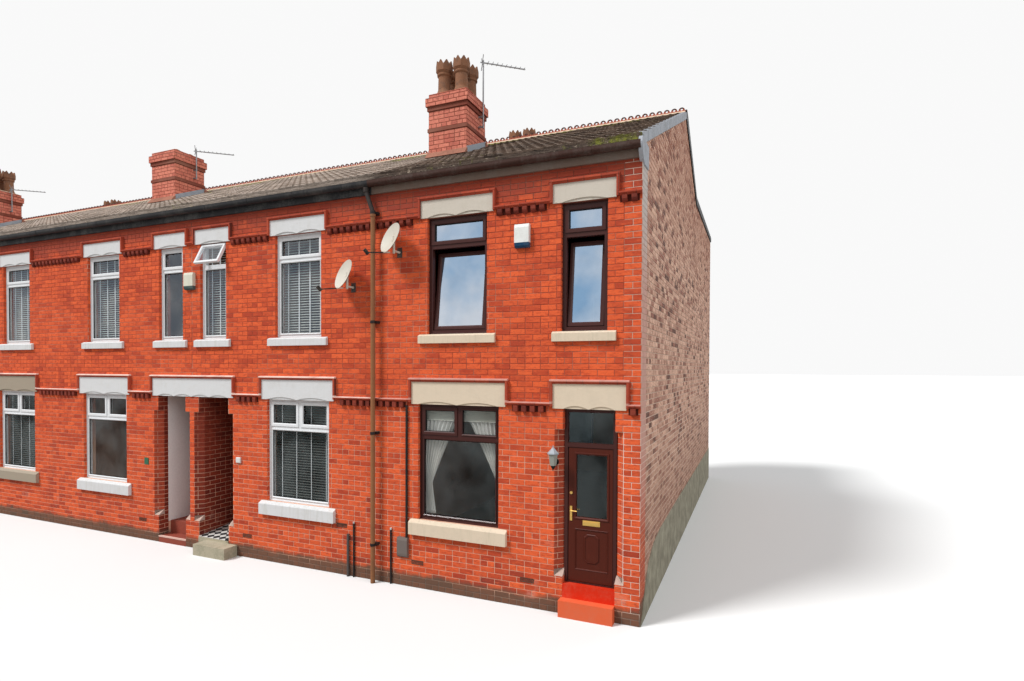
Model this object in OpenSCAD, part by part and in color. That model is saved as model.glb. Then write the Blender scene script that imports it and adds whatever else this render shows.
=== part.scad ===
// Row of six two-storey brick terraced houses with shared porches and chimneys.
// Millimetres. +X runs along the row to its right-hand gable, +Y runs from the
// street front to the back, +Z is up. X 0 is the middle of the row, Y 0 lies
// under the ridge and Z 0 is the ground.

/* [Row] */
// Width of one house between the middles of its party walls
house_w = 4120; // [3600:10:4800]
// Extra width of an end house, out to the gable's face
end_extra = 170; // [115:5:300]
// Thickness of the outer and party walls
wall_t = 230; // [200:5:300]
// Distance from the street front to the ridge
ridge_y = 4750; // [4000:10:5500]
// Depth of the main houses
main_d = 9000; // [8000:10:10000]
// Depth of the houses with their back wings
wing_d = 11500; // [10400:10:13000]
// Width of a back wing
wing_w = 2400; // [1800:10:2800]

/* [Heights] */
// Top of the ground floor above the ground
floor_z = 420; // [300:5:600]
// Underside of the first floor
upper_z = 2930; // [2700:10:3200]
// Thickness of the first floor
upper_t = 200; // [150:5:300]
// Height of the roof's surface over the street wall's face
eaves_z = 6490; // [6000:10:7000]
// Height of the roof's surface at the ridge
ridge_z = 8690; // [8200:10:9400]
// Height of the roof's surface over the back wall's face
rear_eaves_z = 6345; // [6000:5:6800]
// Height of a wing roof's surface at its high side
wing_z = 7420; // [7000:10:7700]
// Height of a wing roof's surface at its low side
wing_low_z = 6300; // [6000:10:6700]
// Thickness of the roof, measured upright
roof_t = 130; // [90:5:220]
// Reach of the roof's front edge past the wall's face
eaves_out = 95; // [60:5:110]
// Underside of the eaves board
fascia_z = 6180; // [5900:5:6250]
// Underside of the gutter
gutter_z = 6272; // [6100:1:6290]
// Number of tile courses on the street slope
front_courses = 15; // [8:1:24]
// Number of tile courses on the back slope
rear_courses = 14; // [8:1:24]
// Height of the step from one tile course to the next
tile_step = 30; // [10:1:40]

/* [Stone and mouldings] */
// How far the lintels stand out of the wall
lintel_out = 25; // [10:1:40]
// Rise of the arches cut on the lintels' lower edges
arch_rise = 42; // [20:1:70]
// Depth of those arches behind the lintel's face
arch_cut = 13; // [5:1:20]
// How far the mouldings stand out of the wall
hood_out = 60; // [40:1:80]
// Height of the moulding over a lintel
hood_h = 64; // [40:1:90]
// Height of the strings between the lintels
string_h = 55; // [40:1:70]

/* [Gutter and downpipe] */
// Half the width of the gutter
gutter_r = 58; // [45:1:70]
// Thickness of the gutter's wall
gutter_t = 5; // [3:1:8]
// Height of the gutter's straight sides above its round bottom
gutter_side = 36; // [10:1:60]
// Thickness of the eaves board
fascia_t = 45; // [20:1:60]
// Distance of the downpipe from the first party wall
pipe_x = 95; // [60:5:200]
// Radius of the downpipe
pipe_r = 36; // [25:1:45]
// Heights of the pipe's brackets
bracket_z = [590, 2364, 4124, 5840];

/* [Front openings] */
// Underside of the ground-floor lintels
lintel0_z = 2863; // [2600:1:3100]
// Height of the ground-floor lintels
lintel0_h = 344; // [250:1:420]
// Underside of the first-floor lintels
lintel1_z = 5706; // [5400:1:6000]
// Height of the first-floor lintels
lintel1_h = 263; // [200:1:330]
// Underside of the ground-floor sills
sill0_z = 842; // [700:1:1000]
// Height of the ground-floor sills
sill0_h = 230; // [150:1:280]
// Underside of the first-floor sills
sill1_z = 3796; // [3500:1:4000]
// Height of the first-floor sills
sill1_h = 140; // [100:1:200]
// Distance of the ground-floor window from the party wall beside it
bay_x = 1553; // [1300:1:1800]
// Width of the ground-floor window opening
bay_w = 1370; // [1000:10:1500]
// Distance of the wide upper window from the party wall beside it
wide_x = 1535; // [1300:1:1800]
// Width of the wide upper window opening
wide_w = 1010; // [800:10:1200]
// Distance of the narrow upper window from the porch's party wall
narrow_x = 565; // [450:1:800]
// Width of the narrow upper window opening
narrow_w = 660; // [500:10:800]
// Distance of the end house's narrow window from the gable's face
end_narrow_x = 783; // [600:1:1000]
// Distance of the end house's doorway from the gable's face
end_door_x = 705; // [600:1:900]
// Width of the doorways
door_w = 740; // [700:10:900]

/* [Shared porches] */
// Half the width of the pier between the two porches
pier_half = 178; // [150:1:240]
// Distance of a porch's outer jamb from the party wall's middle
porch_out = 940; // [900:5:1100]
// Depth of a porch
porch_d = 1100; // [700:10:1600]
// Size of the cut-back corners of the pier and the jambs
cut_back = 120; // [60:5:150]
// Height of a right porch's floor at its front
porch_low_z = 240; // [180:5:300]
// Height of the porches' floors at their doors
porch_high_z = 360; // [300:5:420]
// Bottom of the cut-back corners
cut_low = 520; // [400:10:700]
// Top of the cut-back corners
cut_high = 2570; // [2300:10:2700]

/* [Front door] */
// Thickness of the door leaf
leaf_t = 60; // [44:1:70]
// Width of the door frame's posts
post_w = 48; // [40:1:70]
// Gap between the leaf and its frame
leaf_gap = 6; // [5:1:9]
// Gap at the leaf's lock edge
lock_gap = 10; // [9:1:12]
// Distance of the hinge pins behind the leaf
pin_y = 14; // [12:1:20]
// Distance of the leaf behind the wall's face
leaf_y = 100; // [70:5:120]
// Top of the threshold
threshold_z = 440; // [400:5:500]
// Width of the leaf's stile at the lock
lock_stile = 98; // [80:1:120]
// Width of the leaf's stile at the hinges
hinge_stile = 68; // [55:1:110]
// Height of the leaf's top rail
leaf_rail = 84; // [60:1:110]
// Underside of the leaf's glass
leaf_glass_z = 1340; // [1150:5:1500]
// Height of the letter plate's middle
letter_z = 1278; // [900:1:1290]
// Top of the leaf's sunk lower panel
leaf_panel_top = 1190; // [1000:5:1200]
// Underside of the leaf's sunk lower panel
leaf_panel_z = 615; // [550:5:700]
// Height of the handle's middle
handle_z = 1395; // [950:5:1500]
// Underside of the rail between leaf and fanlight
door_rail_z = 2325; // [2200:5:2450]

/* [Windows] */
// Distance of the window frames behind the wall's face
frame_y = 60; // [30:5:110]
// Depth of the window frames
frame_t = 70; // [50:5:90]
// Width of a window frame's outer members
member = 62; // [45:1:80]
// Thickness of the glazing
glass_t = 20; // [16:1:28]
// Tilt of the inward tilting sashes
tilt = 7; // [2:1:12]
// Opening angle of the top-hung fanlight
vent = 62; // [10:1:70]

/* [Dishes and aerials] */
// Radius of a dish
dish_r = 250; // [180:5:350]
// Hollow of a dish
dish_hollow = 55; // [30:1:80]
// Turn of the dishes away from the street, to the left
dish_turn = 27; // [0:1:60]
// Height of a dish's middle above its wall bracket
dish_lift = 170; // [60:5:300]
// Tilt of the dishes towards the sky
dish_tilt = 20; // [0:1:40]
// Place of the left dish along the row from the first party wall
dish_left = -360; // [-900:10:-330]
// Height of the left dish's middle
dish_left_z = 4890; // [4400:10:5300]
// Place of the right dish along the row from the first party wall
dish_right = 530; // [420:10:640]
// Height of the right dish's middle
dish_right_z = 5390; // [4800:10:5400]
// Length of the aerials' booms
boom = 890; // [500:10:1300]
// Turn of the booms from the row towards the back
boom_turn = 40; // [0:1:90]

/* [Chimneys] */
// Width of a stack along the row
stack_w = 850; // [600:10:1100]
// Depth of a stack from front to back
stack_d = 830; // [600:10:1100]
// Distance of the front stacks' faces behind the street front
stack_y = 2420; // [1800:10:3000]
// Distance of the rear stacks' faces behind the street front
rear_stack_y = 6130; // [5600:10:6600]
// Top of the brickwork of a stack
stack_z = 8900; // [8700:10:9400]
// Height of a chimney pot
pot_h = 700; // [500:10:900]
// Radius of a pot's body
pot_r = 128; // [100:1:150]
// Radius of a pot's crown
crown_r = 172; // [140:1:190]
// Height of a pot's crown
crown_h = 250; // [150:5:320]

/* [Hidden] */
eps = 0.5;
pw = wall_t / 2;
half_row = 2 * house_w + house_w + end_extra;
front_slope = (ridge_z - eaves_z) / ridge_y;
rear_slope = (ridge_z - rear_eaves_z) / (main_d - ridge_y);
wing_slope = (wing_z - wing_low_z) / wing_w;
stack_lines = [2 * house_w, 0, -2 * house_w];
porch_lines = [house_w, -house_w];
function front_z(y) = eaves_z + front_slope * y;
function rear_z(y) = ridge_z - rear_slope * (y - ridge_y);
wing_y = ridge_y + (ridge_z - wing_z) / rear_slope;
// House numbers run from the right. Each entry holds the party line beside
// the bay window, the side of the door, and whether the house ends the row.
houses = [[2 * house_w, 1, true], [2 * house_w, -1, false], [0, 1, false],
    [0, -1, false], [-2 * house_w, 1, false], [-2 * house_w, -1, true]];
end_dist = house_w + end_extra;
function narrow_dist(end) = end ? end_dist - end_narrow_x : house_w - narrow_x;
function door_dist(end) = end ? end_dist - end_door_x : house_w - (pier_half + porch_out) / 2;
function door_width(end) = end ? door_w : porch_out - pier_half;
sill0_top = sill0_z + sill0_h;
sill1_top = sill1_z + sill1_h;

// A box between two corners.
module box(x0, x1, y0, y1, z0, z1) {
    translate([x0, y0, z0])
        cube([x1 - x0, y1 - y0, z1 - z0]);
}

// A profile drawn in Y and Z, run along X.
module along_x(x0, x1) {
    translate([x0, 0, 0])
        rotate([90, 0, 90])
            linear_extrude(height = x1 - x0)
                children();
}

// A profile drawn in X and Z, run along Y.
module along_y(y0, y1) {
    translate([0, y1, 0])
        rotate([90, 0, 0])
            linear_extrude(height = y1 - y0)
                children();
}

// Moves a part drawn from the street front into the row's frame.
module placed() {
    translate([0, -ridge_y, 0])
        children();
}

// Handles one house: side -1 mirrors it about its party line.
module at_house(i) {
    translate([houses[i][0], 0, 0])
        mirror([houses[i][1] < 0 ? 1 : 0, 0, 0])
            children();
}

// Cut that takes one upright corner off a jamb; the edge lies at x, y 0.
module corner_cut(x) {
    translate([x, 0, cut_low])
        linear_extrude(height = cut_high - cut_low)
            polygon([[-cut_back, 0], [0, -cut_back], [cut_back, 0], [0, cut_back]]);
}

// Openings of one house in its own frame.
module house_openings(end) {
    d = door_dist(end);
    w = door_width(end);
    box(bay_x - bay_w / 2, bay_x + bay_w / 2, -eps, wall_t + eps, sill0_top, lintel0_z);
    box(wide_x - wide_w / 2, wide_x + wide_w / 2, -eps, wall_t + eps, sill1_top, lintel1_z);
    n = narrow_dist(end);
    box(n - narrow_w / 2, n + narrow_w / 2, -eps, wall_t + eps, sill1_top, lintel1_z);
    box(d - w / 2, d + w / 2, -eps, wall_t + eps, -eps, lintel0_z);
    corner_cut(d - w / 2);
    if (end) corner_cut(d + w / 2);
}

// Brickwork stops this far under the roof's surface, a hair under the slab.
under = roof_t + 0.3;
wall_top = front_z(0) - under;

module front_wall(i) {
    end = houses[i][2];
    far = end ? end_dist - wall_t : house_w - pier_half;
    difference() {
        at_house(i) {
            if (end) box(0, far, 0, wall_t, 0, wall_top);
            else {
                box(0, far, 0, wall_t, 0, wall_top);
                box(far - eps, house_w, 0, wall_t, lintel0_z, wall_top);
            }
        }
        at_house(i) house_openings(end);
    }
}

// Split lines of the wall about the opening front door.
split_x = end_dist - end_door_x - door_w / 2 - 340;

module front_wall_1() {
    color("firebrick") placed()
        intersection() {
            front_wall(0);
            translate([houses[0][0], 0, 0])
                box(0, split_x, -10, wall_t + 10, -10, wall_top + 10);
        }
}

module front_wall_1_upper() {
    color("firebrick") placed()
        difference() {
            translate([houses[0][0], 0, 0])
                box(split_x, end_dist - wall_t, 0, wall_t, lintel0_z, wall_top);
            at_house(0) house_openings(true);
        }
}

module door_piers() {
    color("firebrick") placed()
        difference() {
            translate([houses[0][0], 0, 0]) {
                box(split_x, end_dist - end_door_x - door_w / 2, 0, wall_t, 0, lintel0_z);
                box(end_dist - end_door_x + door_w / 2, end_dist - wall_t, 0, wall_t, 0, lintel0_z);
            }
            at_house(0) house_openings(true);
        }
}

module front_wall_2() { color("firebrick") placed() front_wall(1); }
module front_wall_3() { color("firebrick") placed() front_wall(2); }
module front_wall_4() { color("firebrick") placed() front_wall(3); }
module front_wall_5() { color("firebrick") placed() front_wall(4); }
module front_wall_6() { color("firebrick") placed() front_wall(5); }

// Gable outline: main roof, then the level top of the wing's flank.
module gable_outline(y0, lift) {
    polygon([[y0, 0], [y0, front_z(y0) - under], [ridge_y, ridge_z - under],
        [wing_y - lift / rear_slope, wing_z + lift - under], [wing_d, wing_z + lift - under], [wing_d, 0]]);
}

module main_outline() {
    polygon([[wall_t, 0], [wall_t, front_z(wall_t) - under], [ridge_y, ridge_z - under],
        [main_d - wall_t, rear_z(main_d - wall_t) - under], [main_d - wall_t, 0]]);
}

// The slabs of the wing roofs before the main roof trims them.
module wing_slabs() {
    difference() {
        wing_volume(wing_y - 400, wing_d + 60, 0);
        wing_volume(wing_y - 500, wing_d + 100, roof_t);
    }
}

module end_wall() {
    difference() {
        along_x(half_row - wall_t, half_row) gable_outline(0, end_extra * wing_slope);
        translate([0, 0, -0.3]) wing_slabs();
    }
}

module gable_wall() {
    color("rosybrown") placed() end_wall();
}

module left_end_wall() {
    color("rosybrown") placed() mirror([1, 0, 0]) end_wall();
}

module party_walls() {
    color("indianred") placed() {
        for (x = stack_lines)
            along_x(x - pw, x + pw) main_outline();
        for (x = porch_lines)
            along_x(x - pw, x + pw)
                polygon([[wall_t, 0], [wall_t, front_z(wall_t) - under], [ridge_y, ridge_z - under],
                    [wing_y, wing_z - under - pw * wing_slope], [wing_d - wall_t, wing_z - under - pw * wing_slope],
                    [wing_d - wall_t, 0]]);
    }
}

module rear_openings() {
    // Main back wall: a window on each floor.
    box(400, 1300, main_d - wall_t - eps, main_d + eps, 1100, 2500);
    box(400, 1300, main_d - wall_t - eps, main_d + eps, 4000, 5500);
}

module rear_walls() {
    color("indianred") placed()
        for (i = [0:5])
            at_house(i)
                difference() {
                    box(0, house_w - wing_w, main_d - wall_t, main_d, 0, rear_z(main_d) - under);
                    rear_openings();
                }
}

module wing_side_walls() {
    color("indianred") placed()
        for (i = [0:5])
            at_house(i)
                box(house_w - wing_w, house_w - wing_w + wall_t, main_d - wall_t, wing_d, 0, wing_low_z - under);
}

wing_door_x = house_w - 1250;

module wing_end_walls() {
    color("indianred") placed()
        for (i = [0:5])
            at_house(i)
                difference() {
                    far = houses[i][2] ? end_dist - wall_t : house_w;
                    along_y(wing_d - wall_t, wing_d)
                        polygon([[house_w - wing_w + wall_t, 0], [far, 0],
                            [far, wing_z - under + (far - house_w) * wing_slope],
                            [house_w - wing_w + wall_t, wing_low_z - under + wall_t * wing_slope]]);
                    box(wing_door_x - 420, wing_door_x + 420, wing_d - wall_t - eps, wing_d + eps, 300, 2400);
                    box(wing_door_x - 400, wing_door_x + 400, wing_d - wall_t - eps, wing_d + eps, 4200, 5500);
                }
}

// Inner face of a house's far wall in its own frame.
function far_x(i) = houses[i][2] ? end_dist - wall_t : house_w - pw;
porch_back = porch_d + 10;

module ground_floor() {
    color("burlywood") placed()
        for (i = [0:5])
            at_house(i) box(pw, far_x(i), porch_back, main_d - wall_t, floor_z - 180, floor_z);
}

module ground_floor_front() {
    color("burlywood") placed()
        for (i = [0:5])
            at_house(i)
                box(pw, houses[i][2] ? far_x(i) : house_w - porch_out - 115, wall_t, porch_back, floor_z - 180, floor_z);
}

module first_floor() {
    color("burlywood") placed()
        for (i = [0:5])
            at_house(i) box(pw, far_x(i), wall_t, main_d - wall_t, upper_z, upper_z + upper_t);
}

module wing_floors() {
    color("burlywood") placed()
        for (i = [0:5], z = [floor_z - 180, upper_z])
            at_house(i)
                box(house_w - wing_w + wall_t, far_x(i), main_d - wall_t, wing_d - wall_t, z, z == upper_z ? upper_z + upper_t : floor_z);
}

module pier_plan(c) {
    polygon([[-pier_half, c], [-pier_half + c, 0], [pier_half - c, 0], [pier_half, c],
        [pier_half, wall_t], [-pier_half, wall_t]]);
}

module porch_piers() {
    color("firebrick") placed()
        for (x = porch_lines)
            translate([x, 0, 0]) {
                linear_extrude(height = cut_low) pier_plan(0.01);
                translate([0, 0, cut_low]) linear_extrude(height = cut_high - cut_low) pier_plan(cut_back);
                translate([0, 0, cut_high]) linear_extrude(height = lintel0_z - cut_high) pier_plan(0.01);
            }
}

module porch_walls() {
    color("firebrick") placed()
        for (x = porch_lines)
            translate([x, 0, 0]) {
                for (s = [-1, 1])
                    mirror([s < 0 ? 1 : 0, 0, 0]) {
                        box(pw, pier_half, wall_t, porch_back, 0, upper_z);
                        box(porch_out, porch_out + 115, wall_t, porch_back, 0, upper_z);
                    }
            }
}

module porch_floors() {
    color("gray") placed()
        for (x = porch_lines)
            translate([x, 0, 0]) {
                // Right porch: sloping floor behind a stone slab.
                along_x(pier_half, porch_out)
                    polygon([[-20, 0], [-20, porch_low_z], [porch_back, porch_high_z], [porch_back, 0]]);
                box(pier_half + 210, porch_out + 230, -300, -20, 0, porch_low_z - 40);
                // Left porch: level floor behind a low step.
                box(-porch_out, -pier_half, 250, porch_back, 0, porch_high_z);
                box(-porch_out, -pier_half, 0, 250, 0, 120);
            }
}

// Doors at the back of the porches, and the left end house's door: frame,
// fanlight and a leaf with sunk panels.
module closed_door(x0, x1, y, z0, z1, low) {
    h = 2060;
    m = (x0 + x1) / 2;
    w = x1 - x0;
    difference() {
        box(x0, x1, y, y + 60, z0, z1);
        if (low > z0 + h + 150)
            box(x0 + 50, x1 - 50, y - 1, y + 20, z0 + h + 50, low - 50);
        for (s = [-1, 1], r = [[150, 760], [900, h - 130]])
            translate([m + s * w * 0.19, 0, 0])
                box(-w * 0.13, w * 0.13, y - 1, y + 12, z0 + r[0], z0 + r[1]);
        box(x0 + 38, x0 + 46, y - 1, y + 10, z0, z0 + h + 10);
        box(x1 - 46, x1 - 38, y - 1, y + 10, z0, z0 + h + 10);
    }
}

module porch_doors() {
    color("saddlebrown") placed() {
        for (x = porch_lines, s = [-1, 1])
            translate([x, 0, 0])
                mirror([s < 0 ? 1 : 0, 0, 0])
                    closed_door(pier_half, porch_out, porch_back - 60, porch_high_z, upper_z, upper_z);
        at_house(5)
            closed_door(door_dist(true) - door_w / 2, door_dist(true) + door_w / 2, leaf_y, threshold_z - 15,
                lintel0_z, lintel0_z);
    }
}

// Stepped outline of tiled courses over a slope; the first step is the eaves.
function courses(y0, z0, y1, z1, n) = [for (k = [0:n - 1], e = [0, 1])
    [y0 + (y1 - y0) * (k + e) / n, z0 + (z1 - z0) * (k + e) / n + (e == 0 ? tile_step : 3)]];

// Height of the top tile course over the slope, at a distance from the ridge.
function tile_lift(d, run) = 3 + (tile_step - 3) * d / run;
front_run = (ridge_y + eaves_out) / front_courses;
rear_edge = main_d + 150;
rear_run = (rear_edge - ridge_y) / rear_courses;

// Front slope with its courses, down to a level under it.
module front_profile(low) {
    polygon(concat(courses(-eaves_out, front_z(-eaves_out), ridge_y, ridge_z, front_courses),
        low ? [[ridge_y, 0], [-eaves_out, 0]]
            : [[ridge_y, ridge_z - roof_t], [0, front_z(0) - roof_t], [-eaves_out, front_z(-eaves_out) - 50]]));
}

module rear_profile(low) {
    polygon(concat(courses(rear_edge, rear_z(rear_edge), ridge_y, ridge_z, rear_courses),
        low ? [[ridge_y, 0], [rear_edge, 0]]
            : [[ridge_y, ridge_z - roof_t], [rear_edge, rear_z(rear_edge) - roof_t]]));
}

module roof_front() {
    color("dimgray") placed()
        difference() {
            along_x(-half_row, half_row) front_profile(false);
            for (x = stack_lines)
                box(x - stack_w / 2, x + stack_w / 2, stack_y, stack_y + stack_d, 6000, 9500);
        }
}

// Everything under a surface at the wings, whose height drops sideways.
module wing_volume(y0, y1, drop) {
    over = 120;
    for (x = porch_lines)
        along_y(y0, y1)
            polygon([[x - wing_w - over, 0], [x - wing_w - over, wing_low_z - drop - over * wing_slope],
                [x, wing_z - drop], [x + wing_w + over, wing_low_z - drop - over * wing_slope],
                [x + wing_w + over, 0]]);
    for (s = [-1, 1])
        mirror([s < 0 ? 1 : 0, 0, 0])
            along_y(y0, y1)
                polygon([[3 * house_w - wing_w - over, 0],
                    [3 * house_w - wing_w - over, wing_low_z - drop - over * wing_slope],
                    [half_row, wing_z + end_extra * wing_slope - drop], [half_row, 0]]);
}

module roof_rear() {
    color("dimgray") placed()
        difference() {
            along_x(-half_row, half_row) rear_profile(false);
            for (x = stack_lines)
                box(x - stack_w / 2, x + stack_w / 2, rear_stack_y, rear_stack_y + stack_d, 6000, 9500);
            wing_volume(wing_y - 500, wing_d, -0.3);
        }
}

module wing_roofs() {
    color("dimgray") placed()
        difference() {
            wing_slabs();
            along_x(-half_row - 10, half_row + 10)
                polygon([[ridge_y, 0], [ridge_y, ridge_z - roof_t],
                    [rear_edge, rear_z(rear_edge) - roof_t], [rear_edge, 0]]);
        }
}

// Half the width of a ridge tile's foot.
ridge_half = 120;
crest_pitch = 150;

// Angle ridge tiles with a crest of pierced half rings.
module ridge() {
    f = front_z(ridge_y - ridge_half) + tile_lift(ridge_half, front_run) + 0.3;
    r = rear_z(ridge_y + ridge_half) + tile_lift(ridge_half, rear_run) + 0.3;
    color("sienna") placed() {
        along_x(-half_row, half_row)
            polygon([[ridge_y - ridge_half, f], [ridge_y - ridge_half, f + 26], [ridge_y - 40, ridge_z + 44],
                [ridge_y - 13, ridge_z + 62], [ridge_y + 13, ridge_z + 62], [ridge_y + 40, ridge_z + 44],
                [ridge_y + ridge_half, r + 26], [ridge_y + ridge_half, r], [ridge_y, ridge_z + 3.3]]);
        for (x = [-half_row + crest_pitch / 2:crest_pitch:half_row - crest_pitch / 2])
            translate([x, ridge_y + 12, ridge_z + 61])
                rotate([90, 0, 0])
                    linear_extrude(height = 24)
                        difference() {
                            circle(r = 64, $fn = 16);
                            translate([0, 20]) circle(r = 24, $fn = 12);
                            translate([-80, -90]) square([160, 90]);
                        }
    }
}

module stack_body(x, y) {
    translate([x, y, 0]) {
        box(-stack_w / 2, stack_w / 2, 0, stack_d, 0, stack_z);
        box(-stack_w / 2 - 20, stack_w / 2 + 20, -20, stack_d + 20, stack_z - 760, stack_z - 690);
        box(-stack_w / 2 - 25, stack_w / 2 + 25, -25, stack_d + 25, stack_z - 340, stack_z - 255);
        box(-stack_w / 2 - 50, stack_w / 2 + 50, -50, stack_d + 50, stack_z - 255, stack_z - 90);
    }
}

module chimney_stacks() {
    color("brown") placed()
        difference() {
            union() {
                for (x = stack_lines) {
                    stack_body(x, stack_y);
                    stack_body(x, rear_stack_y);
                }
            }
            // The stacks stand on the party walls and fill the holes in the roof.
            along_x(-half_row, half_row)
                polygon([[0, 0], [0, front_z(0) - roof_t], [ridge_y, ridge_z - roof_t],
                    [main_d, rear_z(main_d) - roof_t], [main_d, 0]]);
        }
}

// One crown pot: flared foot, round body, a roll and an eight-sided crown with
// a pointed gable on each side.
module pot(x, y) {
    head = crown_r * cos(22.5);
    translate([x, y, stack_z])
        difference() {
            union() {
                rotate_extrude($fn = 40)
                    polygon([[0, 0], [pot_r + 46, 0], [pot_r + 40, 40], [pot_r + 14, 90], [pot_r, 130],
                        [pot_r - 6, pot_h - crown_h - 60], [pot_r + 16, pot_h - crown_h - 40],
                        [pot_r + 20, pot_h - crown_h - 15], [pot_r + 8, pot_h - crown_h + 1], [0, pot_h - crown_h + 1]]);
                rotate([0, 0, 22.5]) {
                    translate([0, 0, pot_h - crown_h])
                        cylinder(h = 50, r1 = crown_r - 34, r2 = crown_r, $fn = 8);
                    translate([0, 0, pot_h - crown_h + 50]) cylinder(h = crown_h - 50, r = crown_r, $fn = 8);
                }
            }
            translate([0, 0, 60]) cylinder(h = pot_h, r = pot_r - 28, $fn = 40);
            for (a = [0:45:315])
                rotate([0, 0, a + 22.5])
                    translate([0, 0, pot_h])
                        rotate([90, 0, 90])
                            linear_extrude(height = crown_r + 20)
                                polygon([[-head * tan(22.5) + 14, 1], [0, -88], [head * tan(22.5) - 14, 1]]);
        }
}

// Low round vent on a stack that lost its pots.
module vent_cap(x, y) {
    translate([x, y, stack_z]) {
        cylinder(h = 70, r = 62, $fn = 32);
        translate([0, 0, 69]) cylinder(h = 30, r1 = 84, r2 = 30, $fn = 32);
    }
}

module chimney_pots() {
    color("peru") placed() {
        for (x = [2 * house_w, -2 * house_w], y = [stack_y, rear_stack_y], dx = [-195, 195], dy = [-190, 190])
            pot(x + dx, y + stack_d / 2 + dy);
        for (y = [stack_y, rear_stack_y], dx = [-190, 190], dy = [-185, 185])
            vent_cap(dx, y + stack_d / 2 + dy);
    }
}

// Top of a soaker over a height of the roof, under the stack's lowest band.
function soaker(z) = min(z + 150, stack_z - 765);

// Soakers up the sides of the stacks, stepped with the tile courses.
module side_flashing(x, y, front) {
    a = front ? front_z(y) : rear_z(y);
    b = front ? front_z(y + stack_d) : rear_z(y + stack_d);
    for (s = [-1, 1])
        translate([x + s * (stack_w / 2 + 4), 0, 0])
            difference() {
                along_x(-4, 4)
                    polygon([[y, a - 20], [y, soaker(a)], [y + stack_d, soaker(b)], [y + stack_d, b - 20]]);
                translate([0, 0, 0.3])
                    along_x(-10, 10)
                        if (front) front_profile(true);
                        else rear_profile(true);
            }
}

module flashings() {
    color("lightsteelblue") placed()
        for (x = stack_lines) {
            side_flashing(x, stack_y, true);
            side_flashing(x, rear_stack_y, false);
        }
}

bay_lintel = bay_w + 220;
wide_lintel = wide_w + 210;
narrow_lintel = narrow_w + 232;
door_lintel = door_w + 290;
porch_lintel = 2 * porch_out + 270;

// Lintel with shallow arches cut on its lower edge, over the opening.
module lintel(x, wide, open, z, h, arches) {
    c = open / arches - 24;
    r = (c * c / 4 + arch_rise * arch_rise) / (2 * arch_rise);
    difference() {
        box(x - wide / 2, x + wide / 2, -lintel_out, 0, z, z + h);
        for (k = [0:arches - 1])
            along_y(-lintel_out - 1, -lintel_out + arch_cut)
                intersection() {
                    translate([x - open / 2 + (k + 0.5) * open / arches, z + arch_rise - r]) circle(r = r, $fn = 180);
                    translate([x - open / 2, z - 1]) square([open, arch_rise + 2]);
                }
    }
}

module lintels() {
    color("ivory") placed() {
        for (i = [0:5]) {
            end = houses[i][2];
            n = narrow_dist(end);
            at_house(i) {
                lintel(bay_x, bay_lintel, bay_w, lintel0_z, lintel0_h, 2);
                lintel(wide_x, wide_lintel, wide_w, lintel1_z, lintel1_h, 2);
                lintel(n, narrow_lintel, narrow_w, lintel1_z, lintel1_h, 1);
                if (end)
                    lintel(door_dist(true), door_lintel, door_w, lintel0_z, lintel0_h, 2);
            }
        }
        for (x = porch_lines)
            lintel(x, porch_lintel, 2 * porch_out, lintel0_z, lintel0_h, 4);
    }
}

// Sill with a weathered top and a drip under its nose.
module sill(x, w, z, h, out) {
    along_x(x - w / 2, x + w / 2)
        polygon([[0, z], [-out + 26, z], [-out + 22, z + 7], [-out + 12, z + 7], [-out + 8, z], [-out, z],
            [-out, z + h * 0.8], [-out + 6, z + h * 0.84], [0, z + h]]);
}

module sills() {
    color("ivory") placed()
        for (i = [0:5]) {
            n = narrow_dist(houses[i][2]);
            at_house(i) {
                sill(bay_x, bay_w + 276, sill0_z, sill0_h, 70);
                sill(wide_x, wide_w + 280, sill1_z, sill1_h, 55);
                sill(n, narrow_w + 240, sill1_z, sill1_h, 55);
            }
        }
}

// Moulded section, from the wall out, for the hoods and the strings.
function moulding(z, h) = [[0, z], [-0.55 * hood_out, z], [-0.7 * hood_out, z + 0.14 * h],
    [-0.74 * hood_out, z + 0.34 * h], [-hood_out, z + 0.44 * h], [-hood_out, z + 0.74 * h],
    [-0.82 * hood_out, z + 0.88 * h], [0, z + h]];

// Moulding over a lintel, with its two returns.
module hood(x, w, z0, z1, th) {
    along_x(x - w / 2 - 42, x + w / 2 + 42) polygon(moulding(z1, th));
    for (s = [-1, 1])
        translate([x + s * (w / 2 + 21), 0, z0])
            linear_extrude(height = z1 - z0 + 0.44 * th)
                polygon([[-21, 0], [-21, -0.7 * hood_out], [-14, -0.95 * hood_out], [14, -0.95 * hood_out],
                    [21, -0.7 * hood_out], [21, 0]]);
}

// String from one place along the row to another.
module string(x0, x1, z) {
    along_x(x0, x1) polygon(moulding(z, string_h));
}

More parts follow.
